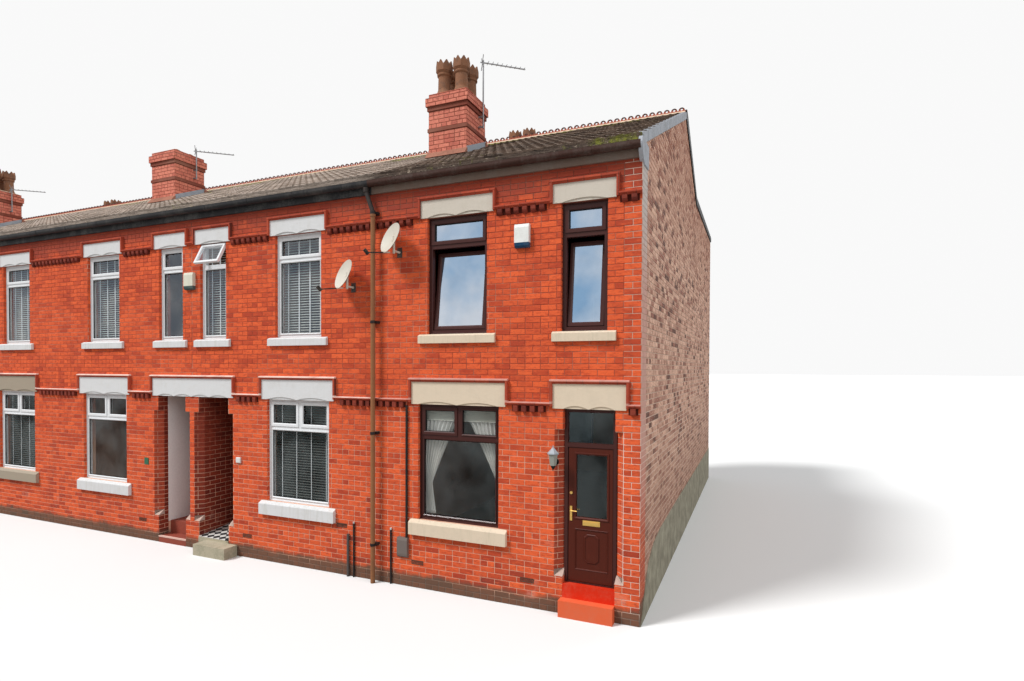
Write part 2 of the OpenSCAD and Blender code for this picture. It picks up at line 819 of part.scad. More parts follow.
module mouldings() {
    z0 = lintel0_z + 30;
    z1 = lintel1_z + 10;
    h0 = lintel0_z + lintel0_h;
    h1 = lintel1_z + lintel1_h;
    color("firebrick") placed() {
        for (i = [0:5]) {
            end = houses[i][2];
            n = narrow_dist(end);
            d = door_dist(true);
            at_house(i) {
                hood(bay_x, bay_lintel, z0, h0, hood_h);
                hood(wide_x, wide_lintel, z1, h1, hood_h);
                hood(n, narrow_lintel, z1, h1, hood_h);
                string(0, bay_x - bay_lintel / 2 - 20, z0);
                string(bay_x + bay_lintel / 2 + 20, end ? d - door_lintel / 2 - 20 : house_w - porch_lintel / 2 - 20, z0);
                string(0, wide_x - wide_lintel / 2 - 20, z1);
                string(wide_x + wide_lintel / 2 + 20, n - narrow_lintel / 2 - 20, z1);
                string(n + narrow_lintel / 2 + 20, end ? end_dist : house_w, z1);
                if (end) {
                    hood(d, door_lintel, z0, h0, hood_h);
                    string(d + door_lintel / 2 + 20, end_dist, z0);
                }
            }
        }
        for (x = porch_lines)
            hood(x, porch_lintel, z0, h0, hood_h);
    }
}

module steps() {
    color("red") placed()
        for (i = [0, 5])
            at_house(i) {
                d = door_dist(true);
                box(d - door_w / 2, d + door_w / 2, 0, wall_t, 0, threshold_z - 15);
                box(d - door_w / 2 - 20, d + door_w / 2, -130, 0, 0, 230);
            }
}

module fascia() {
    color("black") placed()
        box(-half_row, half_row, -fascia_t, 0, fascia_z, wall_top);
}

// Section of the gutter about the middle of its round bottom, with upright sides.
module gutter_section(r, t, side) {
    difference() {
        circle(r = r, $fn = 48);
        circle(r = r - t, $fn = 48);
        translate([-r - 5, 0]) square([2 * r + 10, r + 5]);
    }
    translate([-r, 0]) square([t, side]);
    translate([r - t, 0]) square([t, side]);
}

gutter_y = -fascia_t - gutter_r - 4;

module gutter() {
    color("black") placed() {
        along_x(-half_row, half_row)
            translate([gutter_y, gutter_z + gutter_r])
                gutter_section(gutter_r, gutter_t, gutter_side);
        // Union clips, held by the eaves board.
        for (k = [-12:11])
            along_x((k + 0.5) * house_w / 4 - 35, (k + 0.5) * house_w / 4 + 35)
                translate([gutter_y, gutter_z + gutter_r])
                    gutter_section(gutter_r + 4, 5, gutter_side - 6);
    }
}

// Small pipes up the wall: distance from the first party wall, ends, radius.
wall_pipes = [[672, 770, 2840, 18], [-455, 0, 695, 22], [-345, 0, 905, 15], [378, 0, 890, 15]];

module wall_pipe(v) {
    translate([v[0], -v[3] - 6, v[1]]) cylinder(h = v[2] - v[1], r = v[3], $fn = 24);
    for (e = [0.12, 0.88])
        box(v[0] - v[3] - 6, v[0] + v[3] + 6, -v[3] - 6, 0, v[1] + e * (v[2] - v[1]), v[1] + e * (v[2] - v[1]) + 14);
}

// Swan neck from the gutter's outlet down to the pipe, and the pipe.
neck = 130;
neck_h = 330;

module downpipes() {
    color("saddlebrown") placed()
        translate([2 * house_w, 0, 0]) {
            translate([pipe_x, gutter_y, 0]) {
                cylinder(h = gutter_z - neck_h - 60, r = pipe_r, $fn = 32);
                translate([0, 0, gutter_z - neck_h - 140]) cylinder(h = 90, r = pipe_r + 8, $fn = 32);
                translate([0, 0, gutter_z - neck_h - 65])
                    rotate([0, -atan(neck / neck_h), 0])
                        cylinder(h = sqrt(neck * neck + neck_h * neck_h), r = pipe_r - 1, $fn = 32);
                translate([-neck, 0, gutter_z - 75]) cylinder(h = 75, r = pipe_r + 8, $fn = 32);
                for (z = bracket_z) {
                    box(-pipe_r - 24, pipe_r + 24, pipe_r - 12, -gutter_y, z, z + 40);
                    translate([0, 0, z]) cylinder(h = 40, r = pipe_r + 7, $fn = 32);
                }
            }
            for (v = wall_pipes) wall_pipe(v);
        }
}

// Frame of one window, cut for its lights; each light is x0, x1, z0, z1.
module frame(x, w, z0, z1, y, lights) {
    difference() {
        box(x - w / 2, x + w / 2, y, y + frame_t, z0, z1);
        for (l = lights)
            box(l[0], l[1], y - eps, y + frame_t + eps, l[2], l[3]);
    }
}

transom0 = 2370;
transom1 = 5280;
function bay_lights(split) = [
    [bay_x - bay_w / 2 + member, bay_x - 45, transom0 + 40, lintel0_z - member],
    [bay_x + 45, bay_x + bay_w / 2 - member, transom0 + 40, lintel0_z - member],
    [bay_x - bay_w / 2 + member, bay_x + bay_w / 2 - member, sill0_top + member, transom0 - 40]];
function two_lights(x, w) = [
    [x - w / 2 + member, x + w / 2 - member, transom1 + 40, lintel1_z - member],
    [x - w / 2 + member, x + w / 2 - member, sill1_top + member, transom1 - 40]];

module house_frames(i) {
    n = narrow_dist(houses[i][2]);
    frame(bay_x, bay_w, sill0_top, lintel0_z, frame_y, bay_lights(true));
    frame(wide_x, wide_w, sill1_top, lintel1_z, frame_y, two_lights(wide_x, wide_w));
    frame(n, narrow_w, sill1_top, lintel1_z, frame_y, two_lights(n, narrow_w));
}

module frames_brown() {
    color("maroon") placed() at_house(0) house_frames(0);
}

module frames_white() {
    color("white") placed()
        for (i = [1:5]) at_house(i) house_frames(i);
}

module frames_rear() {
    color("white") placed()
        for (i = [0:5])
            at_house(i) {
                frame(850, 900, 1100, 2500, main_d - 130, [[460, 1240, 1160, 2440]]);
                frame(850, 900, 4000, 5500, main_d - 130, [[460, 1240, 4060, 5440]]);
                frame(wing_door_x, 800, 4200, 5500, wing_d - 130, [[wing_door_x - 340, wing_door_x + 340, 4260, 5440]]);
            }
}

module pane(l, y) {
    box(l[0], l[1], y, y + glass_t, l[2], l[3]);
}

module glazing() {
    color("lightblue", 0.4) placed() {
        for (i = [0:5])
            at_house(i) {
                n = narrow_dist(houses[i][2]);
                for (l = bay_lights(true)) pane(l, frame_y + 25);
                lw = two_lights(wide_x, wide_w);
                ln = two_lights(n, narrow_w);
                pane(lw[0], frame_y + 25);
                if (i > 0) pane(lw[1], frame_y + 25);
                if (i != 1) pane(ln[0], frame_y + 25);
                if (i > 0) pane(ln[1], frame_y + 25);
                pane([460, 1240, 1160, 2440], main_d - 105);
                pane([460, 1240, 4060, 5440], main_d - 105);
                pane([wing_door_x - 340, wing_door_x + 340, 4260, 5440], wing_d - 105);
            }
        translate([houses[0][0], 0, 0])
            box(door_dist(true) - door_w / 2 + post_w, door_dist(true) + door_w / 2 - post_w,
                leaf_y + 15, leaf_y + 35, door_rail_z + 60, lintel0_z - 50);
    }
}

// Inward tilting sash standing in the lower light of an upper window.
module sash(x, w) {
    l = two_lights(x, w)[1];
    g = 8;
    h = l[3] - l[2] - 2 * g - 14;
    translate([0, frame_y + 20, l[2] + 55 * sin(tilt) + 0.2])
        rotate([-tilt, 0, 0]) {
            difference() {
                box(l[0] + g, l[1] - g, 0, 55, 0, h);
                box(l[0] + g + 62, l[1] - g - 62, -1, 56, 62, h - 62);
            }
            box(l[0] + g + 61, l[1] - g - 61, 18, 36, 61, h - 61);
        }
}

module tilted_sashes() {
    color("maroon") placed()
        at_house(0) {
            sash(wide_x, wide_w);
            sash(narrow_dist(true), narrow_w);
        }
}

module fanlight() {
    color("white") placed()
        at_house(1) {
            n = narrow_dist(false);
            l = two_lights(n, narrow_w)[0];
            translate([0, frame_y, l[3]]) {
                rotate([-vent, 0, 0])
                    difference() {
                        box(l[0] + 2, l[1] - 2, 0, 50, -(l[3] - l[2]), 0);
                        box(l[0] + 40, l[1] - 40, 28, 80, -(l[3] - l[2]) + 45, -45);
                    }
                box(l[0] + 2, l[1] - 2, 0, 20, -16, -0.1);
            }
        }
}

module rear_doors() {
    color("saddlebrown") placed()
        for (i = [0:5])
            at_house(i)
                mirror([0, 1, 0])
                    translate([0, -2 * wing_d + 160, 0])
                        closed_door(wing_door_x - 420, wing_door_x + 420, wing_d - 90, 300, 2400, 2400);
}

dx0 = end_dist - end_door_x - door_w / 2;
dx1 = end_dist - end_door_x + door_w / 2;
pin_x = dx1 - post_w - leaf_gap + 3;
pin_r = 6;
hinge_z = [threshold_z + 250, (threshold_z + door_rail_z) / 2, door_rail_z - 250];

module door_frame() {
    color("maroon") placed()
        translate([houses[0][0], 0, 0])
            difference() {
                box(dx0, dx1, leaf_y - 10, leaf_y + leaf_t, threshold_z - 15, lintel0_z);
                box(dx0 + post_w, dx1 - post_w, leaf_y - 20, leaf_y + leaf_t + 10, door_rail_z + 60, lintel0_z - 50);
                box(dx0 + post_w, dx1 - post_w, leaf_y - 20, leaf_y + leaf_t + 10, threshold_z + 5, door_rail_z);
            }
    // Hinge pins with their lugs.
    color("maroon") placed()
        translate([houses[0][0] + pin_x, leaf_y + leaf_t + pin_y, 0])
            for (z = hinge_z) {
                translate([0, 0, z - 50]) cylinder(h = 100, r = pin_r, $fn = 24);
                box(-6, 22, -5, 5, z + 42, z + 50);
                box(8, 22, -pin_y, 5, z + 42, z + 50);
            }
}

leaf_x0 = dx0 + post_w + lock_gap;
leaf_x1 = dx1 - post_w - leaf_gap;
leaf_z0 = threshold_z + 5 + leaf_gap;
leaf_z1 = door_rail_z - leaf_gap;
light_x0 = leaf_x0 + lock_stile;
light_x1 = leaf_x1 - hinge_stile;

module front_door() {
    color("maroon") placed()
        translate([houses[0][0], 0, 0]) {
            difference() {
                box(leaf_x0, leaf_x1, leaf_y, leaf_y + leaf_t, leaf_z0, leaf_z1);
                box(light_x0, light_x1, leaf_y - 5, leaf_y + leaf_t + 5, leaf_glass_z, leaf_z1 - leaf_rail);
                // Sunk lower panel on both faces.
                for (y = [[-1, 7], [leaf_t - 7, leaf_t + 1]])
                    box(light_x0 - 5, light_x1 + 5, leaf_y + y[0], leaf_y + y[1], leaf_panel_z, leaf_panel_top);
            }
            // Long eight-sided raised field on the lower panel.
            translate([(light_x0 + light_x1) / 2, leaf_y + 8, (leaf_panel_z + leaf_panel_top) / 2 + 20])
                rotate([90, 0, 0])
                    linear_extrude(height = 9)
                        polygon([[-85, -138], [-40, -180], [40, -180], [85, -138], [85, 138], [40, 180],
                            [-40, 180], [-85, 138]]);
        }
    // Hinge sleeves on the leaf.
    color("maroon") placed()
        translate([houses[0][0] + pin_x, leaf_y + leaf_t + pin_y, 0])
            for (z = hinge_z)
                difference() {
                    union() {
                        translate([0, 0, z - 40]) cylinder(h = 76, r = 11, $fn = 24);
                        box(-30, -3, -pin_y, -6, z - 40, z + 36);
                    }
                    translate([0, 0, z - 60]) cylinder(h = 120, r = pin_r + 0.3, $fn = 24);
                }
}

module door_glass() {
    color("lightblue", 0.4) placed()
        translate([houses[0][0], 0, 0])
            box(light_x0, light_x1, leaf_y + 20, leaf_y + 40, leaf_glass_z, leaf_z1 - leaf_rail);
}

// Lever handle with its plate on one face; out is the way off the leaf.
module lever(out) {
    mirror([0, out < 0 ? 1 : 0, 0]) {
        box(-16, 16, 0, 9, -102, 102);
        translate([0, 0, 40]) rotate([-90, 0, 0]) cylinder(h = 45, r = 9, $fn = 24);
        translate([0, 38, 40]) rotate([0, 90, 0]) cylinder(h = 92, r = 8, $fn = 24);
        translate([0, 8, -40]) rotate([-90, 0, 0]) cylinder(h = 8, r = 9, $fn = 24);
    }
}

module door_furniture() {
    color("gold") placed()
        translate([houses[0][0], leaf_y, 0]) {
            cx = (light_x0 + light_x1) / 2;
            // Letter plate with its flap.
            translate([cx, 0, letter_z]) {
                box(-122, 122, -8, 0, -36, 36);
                box(-104, 104, -13, -7, -21, 21);
            }
            translate([leaf_x0 + 38, 0, handle_z]) lever(-1);
            translate([leaf_x0 + 38, leaf_t, handle_z]) lever(1);
            // Upper lock.
            translate([leaf_x0 + 40, -12, handle_z + 289]) rotate([-90, 0, 0]) cylinder(h = 12, r = 20, $fn = 24);
        }
}

// Things fixed to the walls: place along the row, low edge and size of each.
alarm = [half_row - 1680, 5130, 220, 330];
second_box = [house_w - 10, 4870, 240, 320];
meter = [half_row - 3683, 455, 185, 315];
bell = [house_w + 1211, 1690, 100, 105];
plaque = [house_w - 1279, 1500, 110, 130];
air_bricks = [[half_row - 3431, 363], [half_row - 1600, 360], [half_row - 4891, 786], [house_w + 1404, 360],
    [house_w - 1404, 360]];
lantern = [half_row - 1180, 2000];

// Box with a slanted top and a round lower edge.
module wall_box(v, out) {
    translate([v[0], 0, v[1]])
        along_x(-v[2] / 2, v[2] / 2)
            polygon([[0, 0], [-out * 0.6, 0], [-out * 0.9, v[3] * 0.08], [-out, v[3] * 0.2], [-out, v[3] * 0.86],
                [-out * 0.8, v[3]], [0, v[3]]]);
}

module air_brick(v) {
    translate([v[0], 0, v[1]])
        difference() {
            box(-105, 105, -9, 0, 0, 66);
            for (k = [-4:4], r = [0, 1])
                box(k * 21 - 6, k * 21 + 6, -12, -3, 12 + r * 24, 30 + r * 24);
        }
}

// Six-sided lantern on a curled arm.
module wall_lantern() {
    translate([lantern[0], 0, lantern[1]]) {
        translate([0, 0, 120]) rotate([90, 0, 0]) cylinder(h = 14, r = 52, $fn = 32);
        box(-9, 9, -110, -10, 60, 78);
        translate([0, -105, 0]) {
            translate([0, 0, 30]) cylinder(h = 50, r1 = 14, r2 = 40, $fn = 6);
            translate([0, 0, 79]) cylinder(h = 160, r1 = 46, r2 = 68, $fn = 6);
            translate([0, 0, 238]) cylinder(h = 16, r = 84, $fn = 6);
            translate([0, 0, 253]) cylinder(h = 70, r1 = 80, r2 = 16, $fn = 6);
            translate([0, 0, 322]) cylinder(h = 40, r1 = 12, r2 = 3, $fn = 12);
            translate([0, 0, 6]) cylinder(h = 26, r1 = 4, r2 = 12, $fn = 12);
        }
    }
}

module wall_fittings() {
    color("ivory") placed() {
        wall_box(alarm, 75);
        wall_box(second_box, 70);
        wall_box(meter, 60);
        wall_box(bell, 34);
        translate([plaque[0], 0, plaque[1]]) box(-plaque[2] / 2, plaque[2] / 2, -16, 0, 0, plaque[3]);
        for (v = air_bricks) air_brick(v);
        wall_lantern();
    }
}

// Dish on its wall bracket, facing left and up, with its receiver arm.
module dish(x, z) {
    c = dish_r * dish_r / (2 * dish_hollow) + dish_hollow / 2;
    translate([x, 0, z]) {
        box(-45, 45, -12, 0, -dish_lift - 75, -dish_lift + 75);
        translate([0, -6, -dish_lift]) rotate([90, 0, 0]) cylinder(h = 160, r = 17, $fn = 24);
        translate([0, -165, -dish_lift - 40]) cylinder(h = dish_lift + 90, r = 20, $fn = 24);
        translate([0, -165, 0])
            rotate([0, 0, -dish_turn])
                rotate([90 - dish_tilt, 0, 0]) {
                    rotate_extrude($fn = 64)
                        intersection() {
                            difference() {
                                translate([0, c + 12]) circle(r = c, $fn = 360);
                                translate([0, c + 18]) circle(r = c, $fn = 360);
                            }
                            square([dish_r, dish_hollow + 20]);
                        }
                    translate([0, 0, -6]) cylinder(h = 30, r = 34, $fn = 24);
                    // Arm from the lower rim, with the receiver at its end.
                    translate([0, -dish_r + 20, 30])
                        rotate([28, 0, 0]) {
                            translate([-9, -9, -40]) cube([18, 18, 400]);
                            translate([0, 12, 352]) rotate([-55, 0, 0]) cylinder(h = 90, r = 27, center = true, $fn = 24);
                        }
                }
    }
}

module dishes() {
    color("silver") placed() {
        dish(2 * house_w + dish_left, dish_left_z);
        dish(2 * house_w + dish_right, dish_right_z);
    }
}

aerial_low = stack_z - 620;

// Mast clamped to the right face of a front stack, with a boom, its reflector
// and its short rods.
module aerial(x, y, top) {
    translate([x, y, 0]) {
        for (z = [aerial_low + 20, aerial_low + 220])
            box(-110, 14, -14, 14, z, z + 30);
        translate([0, 0, aerial_low]) cylinder(h = top - aerial_low, r = 15, $fn = 24);
        translate([0, 0, top - 50])
            rotate([0, 0, boom_turn]) {
                box(-60, boom, -10, 10, -10, 10);
                for (k = [1:9])
                    translate([boom * k / 9.2, 0, 0]) rotate([0, 0, 90]) box(-85 + 4 * k, 85 - 4 * k, -4, 4, 6, 14);
                for (a = [35, 145])
                    translate([-20, 0, 0]) rotate([a, 0, 0]) box(-6, 6, -7, 7, -150, 150);
            }
    }
}

module aerials() {
    color("dimgray") placed()
        for (v = [[stack_lines[0], 9650], [stack_lines[1], 9050], [stack_lines[2], 9030]])
            aerial(v[0] + stack_w / 2 + 110, stack_y + stack_d - 310, v[1]);
}

party_walls();
gable_wall();
left_end_wall();
front_wall_1();
front_wall_1_upper();
door_piers();
front_wall_2();
front_wall_3();
front_wall_4();
front_wall_5();
front_wall_6();
rear_walls();
wing_side_walls();
wing_end_walls();
ground_floor();
ground_floor_front();
first_floor();
wing_floors();
porch_piers();
porch_walls();
porch_floors();
porch_doors();
roof_front();
roof_rear();
wing_roofs();
ridge();
chimney_stacks();
chimney_pots();
flashings();
lintels();
sills();
mouldings();
steps();
fascia();
gutter();
downpipes();
frames_brown();
frames_white();
frames_rear();
glazing();
tilted_sashes();
fanlight();
rear_doors();
door_frame();
front_door();
door_glass();
door_furniture();
wall_fittings();
dishes();
aerials();
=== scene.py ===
"""Brick terrace of six houses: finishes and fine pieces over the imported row."""

from __future__ import annotations

import logging
import math
import random
from collections.abc import Callable, Iterable, Mapping, Sequence
from dataclasses import dataclass, field
from enum import Enum
from functools import cached_property, lru_cache
from itertools import product
from typing import Any

import bmesh
import bpy
from mathutils import Matrix, Vector


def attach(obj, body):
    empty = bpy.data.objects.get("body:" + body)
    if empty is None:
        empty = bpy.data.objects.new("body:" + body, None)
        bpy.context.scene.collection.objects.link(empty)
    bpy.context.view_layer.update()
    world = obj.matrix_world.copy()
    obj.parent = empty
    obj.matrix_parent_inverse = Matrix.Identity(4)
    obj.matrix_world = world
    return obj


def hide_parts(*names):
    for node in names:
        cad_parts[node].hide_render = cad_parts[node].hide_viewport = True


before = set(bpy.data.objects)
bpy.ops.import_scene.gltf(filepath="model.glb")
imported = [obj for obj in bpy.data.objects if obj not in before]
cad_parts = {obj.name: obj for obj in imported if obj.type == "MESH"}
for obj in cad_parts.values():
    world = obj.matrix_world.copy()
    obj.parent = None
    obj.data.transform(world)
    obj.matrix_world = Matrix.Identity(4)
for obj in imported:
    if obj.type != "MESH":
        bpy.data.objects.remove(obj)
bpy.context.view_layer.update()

LOG = logging.getLogger("terrace")
Point = tuple[float, float, float]
Owner = bpy.types.Material | bpy.types.World
Colour = tuple[float, float, float]
Rect = tuple[float, float, float, float]
Section = Sequence[tuple[float, float]]
Skip = Callable[[float, Vector, Vector], bool]


class Axis(Enum):
    """The frame's axes: along the row, from front to back, and up."""

    ALONG = 0
    DEEP = 1
    UP = 2


class Body(Enum):
    """The bodies that a piece can ride on."""

    ROW = "row"
    DOOR = "front_door"


@dataclass(frozen=True)
class RowPlan:
    """Main sizes of the row in metres; depths run from the street front."""

    house: float = 4.12
    end_extra: float = 0.17
    ridge_y: float = 4.75
    ridge_z: float = 8.69
    eaves_z: float = 6.49
    eaves_out: float = 0.095
    rear_z: float = 6.345
    depth: float = 9.0
    wing_depth: float = 11.5
    wing_width: float = 2.4
    wing_high: float = 7.42
    wing_low: float = 6.3
    roof: float = 0.13
    course: float = 0.083
    front_courses: int = 15
    rear_courses: int = 14
    rear_edge: float = 9.15
    low_sill: float = 1.072
    low_head: float = 2.863
    high_sill: float = 3.936
    high_head: float = 5.706
    rear_window: float = 0.85
    wing_door: float = 1.25

    @property
    def half(self) -> float:
        """Half the row's length."""
        return 3 * self.house + self.end_extra

    @property
    def end(self) -> float:
        """Distance from an end house's inner party line to its gable."""
        return self.house + self.end_extra

    def front(self, y: float) -> float:
        """Height of the front roof slope at a depth."""
        return self.eaves_z + (self.ridge_z - self.eaves_z) / self.ridge_y * y

    def rear(self, y: float) -> float:
        """Height of the rear roof slope at a depth."""
        return self.ridge_z - self.rear_fall * (y - self.ridge_y)

    def slope(self, y: float) -> Callable[[float], float]:
        """The roof slope over a depth."""
        return self.front if y < self.ridge_y else self.rear

    @property
    def rear_fall(self) -> float:
        """Fall of the rear slope for each metre back."""
        return (self.ridge_z - self.rear_z) / (self.depth - self.ridge_y)

    @property
    def wing_slope(self) -> float:
        """Sideways fall of a wing roof."""
        return (self.wing_high - self.wing_low) / self.wing_width

    @property
    def wing_start(self) -> float:
        """Depth at which a wing's high edge meets the rear slope."""
        return self.ridge_y + (self.ridge_z - self.wing_high) / self.rear_fall

    def gable_top(self, y: float) -> float:
        """Height of a gable's brickwork.

        Args:
            y: Depth from the street front.

        Returns:
            The height.
        """
        lift = self.end_extra * self.wing_slope
        high = self.front(y) if y < self.ridge_y else max(self.rear(y), self.wing_high + lift)
        return high - self.roof


ROW = RowPlan()
PORCHES = (ROW.house, -ROW.house)


@dataclass(frozen=True)
class StackPlan:
    """Places and sizes of the chimney stacks.

    Args:
        lines: Party lines that carry them.
        fronts: Near faces of the front stack and the rear one.
        bands: How far each band stands out, where it starts and where it ends.
    """

    lines: tuple[float, ...] = (2 * ROW.house, 0.0, -2 * ROW.house)
    fronts: tuple[float, ...] = (2.42, 6.13)
    half: float = 0.425
    depth: float = 0.83
    top: float = 8.9
    bands: tuple[tuple[float, float | None, float], ...] = (
        (0.0, None, 8.14), (0.0, 8.21, 8.56), (0.05, 8.645, 8.81), (0.0, 8.81, 8.9)
    )

    @property
    def places(self) -> list[tuple[float, float]]:
        """Middle and near face of every stack."""
        return [(x, y) for x in self.lines for y in self.fronts]

    def covers(self, x: float, y: float, near: float, far: float) -> bool:
        """Whether a stack stands on a tile between two depths."""
        return any(abs(x - line) < 0.44 and near < y < far for line in self.lines)


STACK = StackPlan()


@dataclass(frozen=True)
class Opening:
    """One opening of a house front: middle, width, underside and top."""

    x: float
    w: float
    low: float
    top: float

    @property
    def rect(self) -> Rect:
        """Left, right, low and top edges."""
        return (self.x - self.w / 2, self.x + self.w / 2, self.low, self.top)


@dataclass(frozen=True)
class House:
    """One house, counted from the right-hand gable."""

    number: int
    line: float
    side: int
    ends: bool

    def at(self, local: float) -> float:
        """Place along the row of a distance from the house's party line."""
        return self.line + self.side * local

    @property
    def span(self) -> tuple[float, float]:
        """Left and right ends of the house's front."""
        far = self.at(ROW.end if self.ends else ROW.house)
        return (min(self.line, far), max(self.line, far))

    @property
    def bay(self) -> Opening:
        """The ground-floor window."""
        return Opening(self.at(1.553), 1.37, ROW.low_sill, ROW.low_head)

    @property
    def wide(self) -> Opening:
        """The wide upper window."""
        return Opening(self.at(1.535), 1.01, ROW.high_sill, ROW.high_head)

    @property
    def narrow(self) -> Opening:
        """The narrow upper window."""
        local = ROW.end - 0.783 if self.ends else ROW.house - 0.565
        return Opening(self.at(local), 0.66, ROW.high_sill, ROW.high_head)

    @property
    def door(self) -> Opening:
        """The doorway or this house's half of the porch."""
        local, wide = (ROW.end - 0.705, 0.74) if self.ends else (ROW.house - 0.559, 0.762)
        return Opening(self.at(local), wide, 0.0, ROW.low_head)

    @property
    def windows(self) -> tuple[tuple[Opening, bool], ...]:
        """The front's windows, and whether each is on the ground floor."""
        return ((self.bay, True), (self.wide, False), (self.narrow, False))

    def gap(self, x0: float, x1: float, low: float, top: float, by: float = 0.0) -> Rect:
        """A rectangle of the front, widened at both sides and measured from its left end."""
        return (x0 - self.span[0] - by, x1 - self.span[0] + by, low, top)


HOUSES = tuple(
    House(number, line, side, number in (1, 6))
    for number, (line, side) in enumerate(product(STACK.lines, (1, -1)), 1)
)


class Sock:
    """A node's output; using it in an expression adds the maths nodes."""

    def __init__(self, graph: Graph, out: bpy.types.NodeSocket) -> None:
        """Keeps the output and the graph that it belongs to."""
        self.graph = graph
        self.out = out

    def _math(self, operation: str, other: Sock | float, swap: bool = False) -> Sock:
        """Adds one maths node, with its two values the other way round if they are swapped."""
        first, second = (other, self) if swap else (self, other)
        return self.graph.node("ShaderNodeMath", {"operation": operation}, {0: first, 1: second})

    def __add__(self, other: Sock | float) -> Sock:
        """Sum."""
        return self._math("ADD", other)

    __radd__ = __add__

    def __sub__(self, other: Sock | float) -> Sock:
        """Difference."""
        return self._math("SUBTRACT", other)

    def __rsub__(self, other: Sock | float) -> Sock:
        """Difference with the value on the right."""
        return self._math("SUBTRACT", other, swap=True)

    def __mul__(self, other: Sock | float) -> Sock:
        """Product."""
        return self._math("MULTIPLY", other)

    __rmul__ = __mul__

    def __truediv__(self, other: Sock | float) -> Sock:
        """Quotient."""
        return self._math("DIVIDE", other)

    def __gt__(self, other: Sock | float) -> Sock:
        """One where this value is the larger."""
        return self._math("GREATER_THAN", other)

    def __lt__(self, other: Sock | float) -> Sock:
        """One where this value is the smaller."""
        return self._math("LESS_THAN", other)

    def most(self, other: Sock | float) -> Sock:
        """The larger of two values."""
        return self._math("MAXIMUM", other)

    def within(self, low: float, high: float) -> Sock:
        """One between two values."""
        return (self > low) * (self < high)

    def part(self, pitch: float) -> Sock:
        """Share of the way through each pitch."""
        return (self / pitch)._math("FRACT", 0.0)

    def step(self, pitch: float) -> Sock:
        """Whole number of pitches."""
        return (self / pitch)._math("FLOOR", 0.0)

    def ramp(self, low: float, high: float) -> Sock:
        """This value spread from nought at low to one at high, and held there."""
        settings = {"clamp": True}
        return self.graph.node("ShaderNodeMapRange", settings, {0: self, 1: low, 2: high, 3: 0.0, 4: 1.0})


